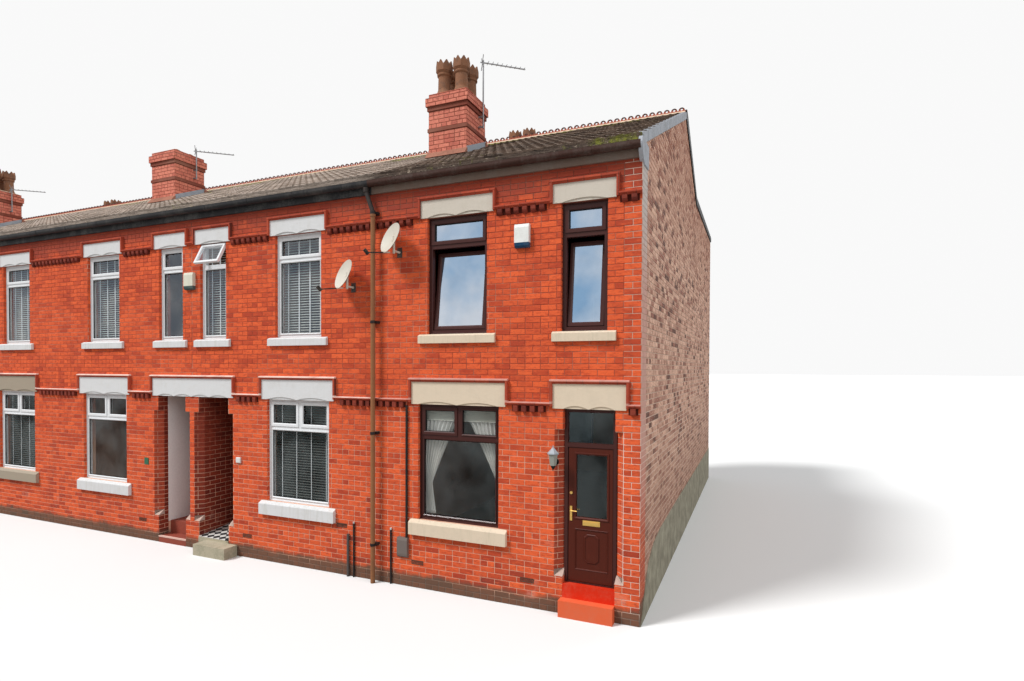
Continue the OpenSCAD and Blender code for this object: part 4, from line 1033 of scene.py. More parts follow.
    # Painted reflections: street patches on the lower panes, blue sky with white clouds on the upper ones,
    # strongest on the end house's sky panes, dim on the rear panes.
    lower_glass = GlassFinish(
        "lower_glass", 0.1, (0.98, 0.99, 0.99), (0.62, 0.74, 0.78), (0.1, 0.13, 0.14), 1.5
    )
    upper_glass = GlassFinish("upper_glass", 0.1, (0.97, 0.98, 0.98), (0.4, 0.5, 0.62), (0.9, 0.95, 1.0))
    rear_glass = GlassFinish("rear_glass", 0.14, (0.1, 0.12, 0.13), (0.3, 0.36, 0.4), (0.6, 0.68, 0.75), 0.9)
    sky_glass = GlassFinish("sky_glass", 0.72, (0.4, 0.45, 0.5), (0.3, 0.5, 0.75), (0.78, 0.85, 0.95), 0.8)
    net = ClothFinish("net_curtain", (0.86, 0.83, 0.78), 0.005, 0.9)
    blind_cloth = ClothFinish("roller_cloth", (0.5, 0.49, 0.42), 0.003)
    slat = PlainFinish("blind_slat", (0.62, 0.61, 0.55), (0.5, 0.5, 0.46), 0.2, 0.5)
    dark_slat = PlainFinish("dark_slat", (0.12, 0.12, 0.11), (0.07, 0.07, 0.065), 0.2, 0.5)
    ivory = PlainFinish("ivory_plastic", (0.72, 0.7, 0.62), (0.45, 0.43, 0.37), 0.3, 0.4)


BLOCK = ((0, 2, 3, 1), (4, 5, 7, 6), (0, 1, 5, 4), (2, 6, 7, 3), (0, 4, 6, 2), (1, 3, 7, 5))
HULL = ((4, 5, 6, 7), (0, 1, 5, 4), (1, 2, 6, 5), (2, 3, 7, 6), (3, 0, 4, 7))


def shrink(rect: Rect, by: float) -> Rect:
    """A rectangle with its four edges moved in."""
    return (rect[0] + by, rect[1] - by, rect[2] + by, rect[3] - by)


def lattice(rows: int, columns: int, closed: bool = False, back: bool = False) -> list[tuple[int, ...]]:
    """Faces between rows of corners.

    Args:
        rows: Number of rows of faces.
        columns: Number of faces in a row.
        closed: Whether each row of corners closes on itself.
        back: Whether the last row of faces joins the first corners.

    Returns:
        Corner numbers of each face.
    """
    wide = columns if closed else columns + 1
    faces = []
    for j in range(rows):
        low, high = j * wide, 0 if back and j == rows - 1 else (j + 1) * wide
        faces += [(low + k, low + (k + 1) % wide, high + (k + 1) % wide, high + k) for k in range(columns)]
    return faces


class Form:
    """Corners and faces of one piece, in metres from the street front."""

    def __init__(self) -> None:
        """Starts an empty form."""
        self.points: list[Point] = []
        self.faces: list[tuple[int, ...]] = []
        self.tones: list[float] = []

    def add(
        self, points: Iterable[Sequence[float]], faces: Iterable[Sequence[int]], tone: float = 0.5
    ) -> None:
        """Adds corners and the faces between them.

        Args:
            points: The corners.
            faces: Corner numbers of each face, from nought.
            tone: Value stored on these faces.
        """
        start = len(self.points)
        self.points.extend(tuple(p) for p in points)
        count = len(self.faces)
        self.faces.extend(tuple(start + i for i in face) for face in faces)
        self.tones.extend([tone] * (len(self.faces) - count))

    def block(self, x: tuple[float, float], y: tuple[float, float], z: tuple[float, float]) -> None:
        """Adds a solid between two values on each axis."""
        self.add([(a, b, c) for c in z for b in y for a in x], BLOCK)

    def run(
        self, profile: Section, start: float, end: float, tone: float = 0.5
    ) -> None:
        """Runs a closed profile along the row.

        Args:
            profile: Pairs of depth and height, in order.
            start: Where the run starts.
            end: Where the run ends.
            tone: Value stored on the faces.
        """
        count = len(profile)
        corners = [(place, y, z) for place in (start, end) for y, z in profile]
        sides = [(i, (i + 1) % count, (i + 1) % count + count, i + count) for i in range(count)]
        caps = [tuple(range(count))[::-1], tuple(range(count, 2 * count))]
        self.add(corners, sides + caps, tone)

    def tube(self, path: Sequence[Sequence[float]], radius: float, steps: int = 8) -> None:
        """Sweeps a round section along a path.

        Args:
            path: Points of the path.
            radius: Radius of the section.
            steps: Number of sides of the section.
        """
        places = [Vector(p) for p in path]
        rings = []
        side = None
        for i, place in enumerate(places):
            before, after = places[max(i - 1, 0)], places[min(i + 1, len(places) - 1)]
            way = (after - before).normalized()
            if side is None:
                side = way.orthogonal().normalized()
            side = (side - way * side.dot(way)).normalized()
            other = way.cross(side)
            for k in range(steps):
                angle = 2 * math.pi * k / steps
                rings.append(tuple(place + side * radius * math.cos(angle) + other * radius * math.sin(angle)))
        faces = lattice(len(places) - 1, steps, closed=True)
        faces.append(tuple(range(steps))[::-1])
        faces.append(tuple(range((len(places) - 1) * steps, len(places) * steps)))
        self.add(rings, faces)

    def ring(self, rect: Rect, y: float, profile: Section) -> None:
        """Runs a closed profile round a rectangle in the front's plane, mitred at its corners.

        Args:
            rect: Left, right, low and top edges of the outer rectangle.
            y: Depth that the profile is measured from.
            profile: Pairs of the distance in from the edge and the depth, in order.
        """
        corners = []
        for inset, depth in profile:
            x0, x1, z0, z1 = shrink(rect, inset)
            corners += [(x, y + depth, z) for x, z in ((x0, z0), (x1, z0), (x1, z1), (x0, z1))]
        self.add(corners, lattice(len(profile), 4, closed=True, back=True))

    def lean(self, first: int, y: float, z: float, turn: float) -> None:
        """Leans the corners from a number on backwards, about a line along the row.

        Args:
            first: Number of the first corner that leans.
            y: Depth of the line.
            z: Height of the line.
            turn: Angle that they lean by.
        """
        for i in range(first, len(self.points)):
            px, py, pz = self.points[i]
            deep, high = py - y, pz - z
            along_y = deep * math.cos(turn) + high * math.sin(turn)
            self.points[i] = (px, y + along_y, z + high * math.cos(turn) - deep * math.sin(turn))

    def piece(
        self,
        name: str,
        finish: Finish,
        body: Body = Body.ROW,
        smooth: bool = False,
        bevel: float = 0.0,
        replaces: Sequence[str] = (),
        slot: str | None = None,
    ) -> bpy.types.Object:
        """Makes the Blender object.

        Args:
            name: The piece's name.
            finish: What it is finished with.
            body: The body that it rides on.
            smooth: Whether round faces are shaded smooth.
            bevel: Width of the softened edges.
            replaces: Nodes that the piece stands for.
            slot: Not used.

        Returns:
            The object.
        """
        mesh = bpy.data.meshes.new(name)
        mesh.from_pydata([(x, y - ROW.ridge_y, z) for x, y, z in self.points], [], self.faces)
        stored = mesh.attributes.new("tone", "FLOAT", "FACE")
        stored.data.foreach_set("value", self.tones)
        work = bmesh.new()
        work.from_mesh(mesh)
        bmesh.ops.recalc_face_normals(work, faces=work.faces)
        if bevel:
            edges = work.edges[:]
            bmesh.ops.bevel(work, geom=edges, offset=bevel, segments=2, affect="EDGES", clamp_overlap=True)
        work.to_mesh(mesh)
        work.free()
        if smooth:
            mesh.shade_smooth()
            mesh.set_sharp_from_angle(angle=math.radians(38))
        made = bpy.data.objects.new(name, mesh)
        bpy.context.scene.collection.objects.link(made)
        mesh.materials.append(finish.material())
        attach(made, body.value)
        if replaces:
            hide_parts(*replaces)
        LOG.info("%s: %d faces", name, len(mesh.polygons))
        return made


@dataclass(frozen=True)
class Face:
    """An upright brick face: its start, the way it runs and the way it looks."""

    start: Point
    along: tuple[float, float]
    out: tuple[float, float]

    @classmethod
    def level(cls, x: float, y: float = 0.0, out: float = -1.0) -> Face:
        """A face that runs along the row and looks to the street, or away from it."""
        return cls((x, y, 0.0), (1.0, 0.0), (0.0, out))

    @classmethod
    def deep(cls, x: float, way: float, y: float = 0.0, run: float = 1.0) -> Face:
        """A face that runs from front to back, or the other way, and looks along the row."""
        return cls((x, y, 0.0), (0.0, run), (way, 0.0))

    def at(self, u: float, proud: float, z: float) -> Point:
        """A point of the face.

        Args:
            u: Distance along the face.
            proud: Distance out of it.
            z: Height.

        Returns:
            The point.
        """
        x = self.start[0] + self.along[0] * u + self.out[0] * proud
        y = self.start[1] + self.along[1] * u + self.out[1] * proud
        return (x, y, z)


@dataclass
class Bricklayer:
    """Lays bricks in courses over upright faces.

    Args:
        seed: Start of the random tones.
        joint: Width of the joints.
        proud: How far the bricks stand out of the joints.
        header_every: Number of courses from one header course to the next.
        stretcher: Length of a brick with its joint.
        arris: Width of a brick's sloping edges.
        form: Gathers the bricks.
    """

    seed: int = 1
    joint: float = 0.009
    proud: float = 0.005
    header_every: int = 6
    stretcher: float = 0.2345
    arris: float = 0.003
    form: Form = field(default_factory=Form)
    dice: random.Random = field(init=False)

    def __post_init__(self) -> None:
        """Starts the random tones."""
        self.dice = random.Random(self.seed)

    def lay(
        self,
        face: Face,
        width: float,
        low: float,
        top: float | Callable[[float], float],
        holes: Sequence[Rect] = (),
        shift: float = 0.0,
    ) -> None:
        """Covers a face with bricks.

        Args:
            face: The face.
            width: Its width.
            low: Its lowest edge.
            top: Its top, or the top at a distance along it.
            holes: Rectangles left free, measured along the face.
            shift: How far the bond is moved along.
        """
        crest = top if callable(top) else (lambda u: top)
        highest = max(crest(width * i / 24) for i in range(25))
        for k in range(int(low / ROW.course), int(highest / ROW.course) + 1):
            z0 = k * ROW.course + self.joint / 2
            z1 = (k + 1) * ROW.course - self.joint / 2
            length = self.stretcher / 2 if k % self.header_every == 0 else self.stretcher
            u = -(length / 2 if k % 2 else 0.0) - shift % length
            while u < width:
                a, b = max(0.0, u + self.joint / 2), min(width, u + length - self.joint / 2)
                tone = self.dice.random()
                if b - a > 0.015:
                    self._cut(face, (a, b, max(z0, low), z1), crest, holes, tone)
                u += length

    def _cut(
        self, face: Face, rect: Rect, crest: Callable[[float], float], holes: Sequence[Rect], tone: float
    ) -> None:
        """Cuts one brick round the holes and lays what is left of it.

        Args:
            face: The face that it lies on.
            rect: Its edges, measured along the face.
            crest: The face's top at a distance along it.
            holes: Rectangles left free.
            tone: Its tone.
        """
        a, b, z0, z1 = rect
        for h in holes:
            inside = shrink(h, 1e-4)
            if a < inside[1] and b > inside[0] and z0 < inside[3] and z1 > inside[2]:
                rest = [r for r in holes if r is not h]
                parts = [(a, min(b, h[0]), z0, z1), (max(a, h[1]), b, z0, z1)]
                inner = (max(a, h[0]), min(b, h[1]))
                parts += [(*inner, z0, min(z1, h[2])), (*inner, max(z0, h[3]), z1)]
                for part in parts:
                    if part[1] - part[0] > 0.012 and part[3] - part[2] > 0.01:
                        self._cut(face, part, crest, rest, tone)
                return
        self._brick(face, rect, crest, tone)

    def _brick(self, face: Face, rect: Rect, crest: Callable[[float], float], tone: float) -> None:
        """Adds one brick's face and its four edges.

        Args:
            face: The face that it lies on.
            rect: Its edges, measured along the face.
            crest: The face's top at a distance along it.
            tone: Its tone.
        """
        a, b, z0, z1 = rect
        left, right = min(z1, crest(a)), min(z1, crest(b))
        if max(left, right) - z0 < 0.012:
            return
        left, right = max(left, z0 + 0.002), max(right, z0 + 0.002)
        c, p = self.arris, self.proud
        back = [face.at(a, 0, z0), face.at(b, 0, z0), face.at(b, 0, right), face.at(a, 0, left)]
        lip = [
            face.at(a + c, p, z0 + c),
            face.at(b - c, p, z0 + c),
            face.at(b - c, p, max(right - c, z0 + c)),
            face.at(a + c, p, max(left - c, z0 + c)),
        ]
        self.form.add(back + lip, HULL, tone)


@dataclass
class Walls:
    """Brick faces of the row over the mortar of its walls."""

    top: float = ROW.eaves_z - ROW.roof
    frame_y: float = 0.06
    lintel: float = 0.344
    upper_lintel: float = 0.263
    sill: float = 0.23
    upper_sill: float = 0.14
    step: float = 0.12
    lintel_end: float = 0.105
    sill_end: float = 0.12
    porch_top: float = 2.93
    quoin: float = 0.35
    rear_half: float = 0.45
    rear_lights: tuple[tuple[float, float], ...] = ((1.1, 2.5), (4.0, 5.5))
    tooth: float = 0.129
    square_end: Section = ((-0.05, 0.0), (-0.05, 0.088), (0.0, 0.088), (0.0, 0.0))
    round_end: Section = (
        (-0.05, 0.0), (-0.05, 0.05), (-0.04, 0.075), (-0.02, 0.092), (0.0, 0.098), (0.0, 0.0)
    )
    cut: float = 0.12
    cut_low: float = 0.52
    cut_high: float = 2.57
    pier: float = 0.178
    porch_out: float = 0.94
    porch_depth: float = 1.04
    plinth: float = 0.78
    stops: Form = field(default_factory=Form)

    def build(self) -> None:
        """Lays every face."""
        self._mortar()
        for house in HOUSES:
            self._front(house)
        self._porches()
        self.stops.piece("splay_stops", Shop.stop)
        self._gables()
        self._rear()
        self._stacks()
        self._dentils()
        self._render()

    def _mortar(self) -> None:
        """Dresses the walls themselves as the mortar behind the bricks."""
        names = [f"front_wall_{i}" for i in range(1, 7)]
        names += ["front_wall_1_upper", "door_piers", "porch_piers", "porch_walls", "rear_walls"]
        names += ["wing_side_walls", "wing_end_walls", "party_walls", "chimney_stacks"]
        dress(names, Shop.mortar)
        dress(["gable_wall", "left_end_wall"], Shop.pale_mortar)
        dress(["ground_floor", "ground_floor_front", "first_floor", "wing_floors"], Shop.timber)
        dress(["mouldings"], Shop.moulded)

    def _front(self, house: House) -> None:
        """Lays one house front with the reveals of its openings.

        Args:
            house: The house.
        """
        mason, dim = Bricklayer(seed=house.number), Bricklayer(seed=20 + house.number)
        holes = []
        for opening, ground in house.windows:
            x0, x1, z0, z1 = opening.rect
            sill, lintel = (self.sill, self.lintel) if ground else (self.upper_sill, self.upper_lintel)
            holes.append(house.gap(x0, x1, z0, z1))
            holes.append(house.gap(x0, x1, z1, z1 + lintel, self.lintel_end))
            holes.append(house.gap(x0, x1, z0 - sill, z0, self.sill_end))
            for x, way in ((x0, 1.0), (x1, -1.0)):
                mason.lay(Face.deep(x, way), self.frame_y, z0, z1)
        holes += self._doorway(house, mason, dim)
        lo, hi = house.span
        mason.lay(Face.level(lo), hi - lo, 0.0, self.top, holes, shift=0.05 * house.number)
        mason.form.piece(f"front_bricks_{house.number}", Shop.brick)
        if dim.form.faces:
            dim.form.piece(f"shaded_splay_bricks_{house.number}", Shop.splay)

    def _doorway(self, house: House, mason: Bricklayer, dim: Bricklayer) -> list[Rect]:
        """Lays the splayed edges of one doorway.

        Args:
            house: The house.
            mason: Lays the edges that catch the light.
            dim: Lays the ones that face away from the light, with a darker brick that paints their shade.

        Returns:
            The rectangles that the doorway leaves free.
        """
        x0, x1, _, top = house.door.rect
        wide = 0.14
        if house.ends:
            cut = (x0 - self.cut, x1 + self.cut)
            for x, way in ((x0, -1), (x1, 1)):
                # The left jamb's splay faces away from the light and takes the darker brick that paints its
                # shade.
                self._splay(mason if way > 0 else dim, x, way)
                for low, high in ((self.sill, self.cut_low), (self.cut_high, top)):
                    mason.lay(Face.deep(x, -way), 0.09, low, high)
        else:
            jamb, wide = house.at(ROW.house - self.porch_out), 0.135
            x0, x1 = sorted((jamb, house.at(ROW.house)))
            cut = sorted((jamb - house.side * self.cut, jamb))
            # A porch jamb whose splay faces away from the light takes the darker brick that paints its shade.
            self._splay(dim if house.side > 0 else mason, jamb, -house.side)
        lintel = house.gap(x0, x1, top, top + self.lintel, wide)
        return [house.gap(x0, x1, -1.0, top), lintel, house.gap(*cut, self.cut_low, self.cut_high)]

    def _splay(self, mason: Bricklayer, x: float, way: int) -> None:
        """Lays the splayed corner of one jamb, with its stop.

        Args:
            mason: Lays the bricks.
            x: The jamb's place along the row.
            way: Points into the wall.
        """
        side = math.sqrt(0.5)
        start = (x + way * self.cut, 0.0, 0.0)
        face = Face(start, (-way * side, side), (-way * side, -side))
        mason.lay(face, self.cut / side, self.cut_low + 0.09, self.cut_high, shift=0.06)
        low, top = self.cut_low, self.cut_low + 0.105
        out, near = x + way * self.cut, x - way * 0.004
        corners = [(out, -0.004, low), (near, -0.004, low), (near, self.cut, low)]
        corners += [(out, -0.002, top), (x, self.cut, top)]
        self.stops.add(corners, [(0, 1, 2), (0, 1, 4, 3), (1, 2, 4), (0, 3, 4, 2)])

    def _porches(self) -> None:
        """Lays the piers and the side walls of the shared porches."""
        for number, line in enumerate(PORCHES, 1):
            mason = Bricklayer(seed=40 + number)
            cuts = [(0.0, self.cut, self.cut_low, self.cut_high)]
            cuts.append((2 * self.pier - self.cut, 2 * self.pier, self.cut_low, self.cut_high))
            mason.lay(Face.level(line - self.pier), 2 * self.pier, 0.0, ROW.low_head, cuts)
            inner = Bricklayer(seed=50 + number)
            self._splay(mason, line - self.pier, 1)
            # The pier's right-facing splay takes the porch sides' dark brick, which paints its shade.
            self._splay(inner, line + self.pier, -1)
            self._lines(inner, line)
            inner.form.piece(f"porch_side_bricks_{number}", Shop.inner)
            mason.form.piece(f"porch_bricks_{number}", Shop.brick)
            wash = Form()
            x = line - self.porch_out
            wash.block((x - 0.004, x + 0.007), (0.2, self.porch_depth), (3 * self.step, self.porch_top))
            wash.piece(f"porch_wash_{number}", Shop.wall_white, bevel=0.002)

    def _lines(self, mason: Bricklayer, line: float) -> None:
        """Lays the four side faces of one porch.

        Args:
            mason: Lays the bricks.
            line: The party line through the porch's pier.
        """
        cut = [(0.0, self.cut, self.cut_low, self.cut_high)]
        for x, way, deep, low in (
            (line - self.pier, -1.0, self.porch_depth, self.step),
            (line + self.pier, 1.0, self.porch_depth, 2 * self.step),
            (line + self.porch_out, -1.0, self.porch_depth, 2 * self.step),
            (line - self.porch_out, 1.0, 0.2, self.step),
        ):
            mason.lay(Face.deep(x, way), deep, low, self.porch_top, cut)

    def _gables(self) -> None:
        """Lays both gable ends, with the front's bricks turned round the corner."""
        for name, way in (("right", 1), ("left", -1)):
            mason = Bricklayer(seed=60 + way, joint=0.013, proud=0.006)
            face = Face.deep(way * ROW.half, way)
            corner = [(0.0, self.quoin, 0.0, ROW.ridge_z)]
            mason.lay(face, ROW.wing_depth, 0.0, lambda u: ROW.gable_top(u) - 0.005, corner)
            mason.form.piece(f"gable_bricks_{name}", Shop.gable)
            quoin = Bricklayer(seed=70 + way)
            quoin.lay(face, self.quoin, 0.0, self.top)
            quoin.form.piece(f"corner_bricks_{name}", Shop.corner)

    def _rear(self) -> None:
        """Lays the back walls and the wings."""
        back = Bricklayer(seed=80, joint=0.013, header_every=4)
        wings = Bricklayer(seed=81, joint=0.013, header_every=4)
        flat, deep, split = ROW.depth, ROW.wing_depth, ROW.house - ROW.wing_width
        for house in HOUSES:
            left = min(house.at(0.0), house.at(split))
            x0, x1 = (house.at(ROW.rear_window) + reach for reach in (-self.rear_half, self.rear_half))
            holes = [(x0 - left, x1 - left, z0, z1) for z0, z1 in self.rear_lights]
            back.lay(Face.level(left, flat, 1.0), split, 0.0, ROW.rear(flat) - ROW.roof, holes)
            for z0, z1 in self.rear_lights:
                for x, way in ((x0, 1.0), (x1, -1.0)):
                    back.lay(Face.deep(x, way, flat, -1.0), 0.055, z0, z1)
            low = ROW.wing_low - ROW.roof
            wings.lay(Face.deep(house.at(split), -house.side, flat), deep - flat, 0.0, low)
            reach = (ROW.end if house.ends else ROW.house) - split
            near = house.at(split + reach if house.side < 0 else split)

            def crest(u: float, side: int = house.side, reach: float = reach, low: float = low) -> float:
                """Top of the wing's end wall."""
                return low + ROW.wing_slope * (u if side > 0 else reach - u)

            door = house.at(ROW.house - ROW.wing_door) - near
            holes = [(door - 0.42, door + 0.42, 0.3, 2.4), (door - 0.4, door + 0.4, 4.2, 5.5)]
            wings.lay(Face.level(near, deep, 1.0), reach, 0.0, crest, holes)
        back.form.piece("rear_bricks", Shop.gable)
        wings.form.piece("wing_bricks", Shop.gable)

    def _stacks(self) -> None:
        """Lays the four faces of every chimney stack, with the faces of its bands."""
        mason = Bricklayer(seed=90, joint=0.01, header_every=3)
        for x, y in STACK.places:
            for grow, low, high in STACK.bands:
                half, deep = STACK.half + grow, STACK.depth + grow
                x0, x1, y0, y1 = x - half, x + half, y - grow, y + deep
                for face, width, near, far in (
                    (Face.level(x0, y0), 2 * half, y0, y0),
                    (Face.level(x0, y1, 1.0), 2 * half, y1, y1),
                    (Face.deep(x0, -1.0, y0), deep + grow, y0, y1),
                    (Face.deep(x1, 1.0, y0), deep + grow, y0, y1),
                ):
                    foot = low or min(ROW.slope(y)(near), ROW.slope(y)(far)) - 0.02
                    mason.lay(face, width, foot, high)
        mason.form.piece("stack_bricks", Shop.stack)

    def _dentils(self) -> None:
        """Hangs the small bricks under the strings: square ones below, rounded ones above, with a dark strip
        behind them that paints the shadow under the string.
        """
        form, shadow_strips, dice = Form(), Form(), random.Random(5)
        for house in HOUSES:
            door = (house.door.x, 0.56) if house.ends else (house.at(ROW.house), 1.12)
            ground = ((house.bay.x, 0.84), door)
            upper = ((house.wide.x, 0.66), (house.narrow.x, 0.49))
            for lintels, z, drops in ((ground, 2.893, self.square_end), (upper, 5.716, self.round_end)):
                place = house.span[0] + 0.064
                while place < house.span[1] - 0.04:
                    if all(abs(place - middle) > reach + 0.038 for middle, reach in lintels):
                        profile = [(y, z - drop) for y, drop in drops]
                        form.run(profile, place - 0.037, place + 0.037, dice.random())
                        ends = (place - self.tooth / 2, place + self.tooth / 2)
                        # A dark strip behind each tooth: painted shadow under the string.
                        shadow_strips.block(ends, (-0.007, 0.0), (z - 0.09, z))
                    place += self.tooth
        form.piece("dentils", Shop.shaded_teeth, bevel=0.003)
        shadow_strips.piece("dentil_shadows", Shop.gap)

    def _render(self) -> None:
        """Spreads the cement at the foot of the gables."""
        for name, way in (("right", 1), ("left", -1)):
            form = Form()
            x = way * ROW.half
            low, top, deep = ((0.12, 0.1), (0.27, 0.3), (0.42, 0.5), (0.62, 0.68)), self.plinth, ROW.wing_depth
            crest = ((0.9, top + 0.02), (1.2, top + 0.08), (1.7, top + 0.12), (deep, top + 0.16))
            profile = [(deep, 0.0), (0.0, 0.0), *low, *crest]
            form.run(profile, min(x, x + way * 0.016), max(x, x + way * 0.016))
            form.piece(f"gable_render_{name}", Shop.render, bevel=0.004)


@dataclass
class Roofs:
    """Tiles, ridge and edges of the roofs."""

    gauge: float = 0.372
    cover: float = 0.3
    rise: float = 0.013
    butt: float = 0.0315
    head: float = 0.0065
    overhang: float = 0.12
    verge_parts: int = 14

    def build(self) -> None:
        """Covers every slope."""
        dress(["roof_front"], Shop.tile)
        dress(["roof_rear", "wing_roofs"], Shop.rear_tile)
        self._main("front_tiles", Shop.tile, 11, -ROW.eaves_out, ROW.front_courses, self._stacked)
        self._main("rear_tiles", Shop.rear_tile, 12, ROW.rear_edge, ROW.rear_courses, self._covered)
        self._wings()
        self._ridge()
        self._verges()
        self._flashings()
        dress(["gutter"], Shop.gutter)
        dress(["fascia"], Shop.fascia)
        dress(["downpipes"], Shop.pipe)

    def _profile(self) -> Section:
        """Distances across one tile and the heights of its two rolls."""
        rolls = ((i / 12, max(0.0, math.cos(2 * math.pi * (i / 6 - 0.25)))) for i in range(13))
        return [(across * self.cover, self.rise * roll**1.5) for across, roll in rolls]

    def _slope(
        self,
        form: Form,
        span: tuple[float, float],
        rows: Sequence[tuple[Vector, Vector]],
        up: Vector,
        skip: Skip,
        dice: random.Random,
        along: Vector = Vector((1.0, 0.0, 0.0)),
    ) -> None:
        """Lays courses of tiles on one slope.

        Args:
            form: Gathers the tiles.
            span: Where the courses start and end.
            rows: Lower and upper edge of each course, at nought along.
            up: The slope's outward direction.
            skip: Tells whether a tile is left out, by its place and its course's edges.
            dice: Source of the tones.
            along: Direction of the courses.
        """
        profile = self._profile()
        count = math.ceil((span[1] - span[0]) / self.cover)
        for low, high in rows:
            for k in range(count):
                start = span[0] + k * self.cover
                if skip(start + self.cover / 2, low, high):
                    continue
                kept = [(a, h) for a, h in profile if start + a <= span[1] + 1e-6]
                if len(kept) < 2:
                    continue
                lift = dice.uniform(0.0, 0.003)
                crown, butt, head = [], [], []
                for a, h in kept:
                    place = along * (start + a)
                    crown.append(low + place + up * (h + self.butt + lift))
                    butt.append(low + place + up * (h * 0.6 + 0.002))
                    head.append(high + place + up * (h + self.head))
                n = len(kept)
                faces = [(i, i + 1, 2 * n + i + 1, 2 * n + i) for i in range(n - 1)]
                faces += [(n + i, n + i + 1, i + 1, i) for i in range(n - 1)]
                faces += [(n, 0, 2 * n), (2 * n - 1, n - 1, 3 * n - 1)]
                form.add([tuple(p) for p in crown + butt + head], faces, dice.random())

    @staticmethod
    def _rows(low: Vector, high: Vector, count: int) -> list[tuple[Vector, Vector]]:
        """Lower and upper edges of the courses between two lines."""
        return [(low.lerp(high, i / count), low.lerp(high, (i + 1) / count)) for i in range(count)]

    def _main(self, name: str, finish: Finish, seed: int, edge: float, count: int, skip: Skip) -> None:
        """Tiles one main slope.

        Args:
            name: The piece's name.
            finish: What it is finished with.
            seed: Start of the random tones.
            edge: Depth of the lowest course's edge.
            count: Number of courses.
            skip: Tells whether a tile is left out.
        """
        form, slope = Form(), ROW.slope(edge)
        low, high = (Vector((0.0, y, slope(y))) for y in (edge, ROW.ridge_y))
        up = Vector((0.0, slope(0.0) - slope(1.0), 1.0)).normalized()
        dice = random.Random(seed)
        self._slope(form, (-ROW.half, ROW.half), self._rows(low, high, count), up, skip, dice)
        form.piece(name, finish)

    @staticmethod
    def _stacked(x: float, low: Vector, _: Vector) -> bool:
        """Whether a stack covers a tile of the front slope."""
        return STACK.covers(x, low.y, 2.15, 3.05)

    @staticmethod
    def _covered(x: float, low: Vector, _: Vector) -> bool:
        """Tells whether a wing's roof or a stack covers a tile of the rear slope.

        Args:
            x: The tile's place along the row.
            low: Lower edge of its course.

        Returns:
            Whether it is covered.
        """
        y = low.y - 0.15
        near = ROW.half - abs(x) if abs(x) > 2 * ROW.house else min(abs(x - line) for line in PORCHES)
        wing = near < ROW.wing_width + 0.1 and ROW.rear(y) < ROW.wing_high - near * ROW.wing_slope + 0.03
        return wing or STACK.covers(x, y, 6.05, 7.05)

    @staticmethod
    def _under(y: float, _: Vector, high: Vector) -> bool:
        """Whether a tile of a wing would lie under the main roof."""
        return ROW.rear(y - 0.15) > high.z + 0.02

    def _wings(self) -> None:
        """Tiles the wings, whose courses run from front to back."""
        form, dice, back = Form(), random.Random(13), Vector((0.0, 1.0, 0.0))
        local = ROW.house - ROW.wing_width - self.overhang
        for house in HOUSES:
            run = (ROW.end if house.ends else ROW.house) - local
            low = Vector((house.at(local), 0.0, ROW.wing_low - self.overhang * ROW.wing_slope))
            high = low + Vector((house.side * run, 0.0, run * ROW.wing_slope))
            rows = self._rows(low, high, round((high - low).length / self.gauge))
            up = Vector((-house.side * ROW.wing_slope, 0.0, 1.0)).normalized()
            self._slope(form, (7.0, ROW.wing_depth + 0.06), rows, up, self._under, dice, back)
        form.piece("wing_tiles", Shop.rear_tile)

    def _ridge(self) -> None:
        """Beds the crested ridge tiles."""
        dress(["ridge"], Shop.ridge)
        bed, y, z, reach = Form(), ROW.ridge_y, ROW.ridge_z, 0.13
        section = ((0.1, 0.01), (0.185, 0.02), (0.18, 0.042), (0.13, 0.052), (0.1, 0.052))
        for way, slope in ((-1.0, ROW.front), (1.0, ROW.rear)):
            fall = (slope(y + way * reach) - z) / reach
            bed.run([(y + way * d, z + fall * d + lift) for d, lift in section], -ROW.half, ROW.half)
        bed.piece("ridge_bedding", Shop.bedding)

    def _verges(self) -> None:
        """Points the gables' edges with cement and caps the rear edges."""
        for name, way in (("right", 1), ("left", -1)):
            form, x = Form(), way * ROW.half
            inner, outer = sorted((x - way * 0.05, x + way * 0.022))
            length = (ROW.ridge_y + 0.02) / self.verge_parts
            for i in range(self.verge_parts):
                y0 = i * length - 0.06
                y1, near = y0 + length, y0 + 0.01
                z0, z1 = ROW.front(y0), ROW.front(y1)
                profile = [(near, z0 - 0.125), (y1, z1 - 0.125), (y1, z1 + 0.012), (near, z0 + 0.045)]
                form.run(profile, inner, outer, i / self.verge_parts)
            kneeler = [(-0.1, 6.43), (-0.125, 6.35), (-0.11, 6.24), (-0.05, 6.15), (0.05, 6.1), (0.35, 6.12)]
            form.run([*kneeler, (0.35, 6.43)], *sorted((x - way * 0.035, x + way * 0.021)), 0.4)
            form.piece(f"verge_cement_{name}", Shop.cement, bevel=0.004)
            board, y, z, deep = Form(), ROW.ridge_y, ROW.ridge_z, ROW.wing_depth
            end = ROW.wing_start - 0.15
            low = ROW.rear(end)
            profile = [(y - 0.05, z - 0.15), (y - 0.05, z + 0.05), (y + 0.1, z + 0.02), (end, low + 0.04)]
            profile += [(deep, low + 0.03), (deep, low - 0.1), (end - 0.02, low - 0.13)]
            board.run(profile, *sorted((x - way * 0.02, x + way * 0.03)))
            board.piece(f"rear_edge_{name}", Shop.black, bevel=0.003)

    def _flashings(self) -> None:
        """Dresses the lead and lays cement fillets at the stacks' fronts and backs."""
        dress(["flashings"], Shop.lead)
        fillet = Form()
        section = ((0.0, 0.0), (0.0, 0.13), (0.3, 0.12), (2.0, 0.045))
        for x, y in STACK.places:
            for face, out in ((y, -0.06), (y + STACK.depth, 0.06)):
                profile = [(face + out * a, ROW.slope(y)(face + out * a) + b) for a, b in section]
                fillet.run(profile, x - 0.45, x + 0.45)
        fillet.piece("stack_fillets", Shop.fillet)


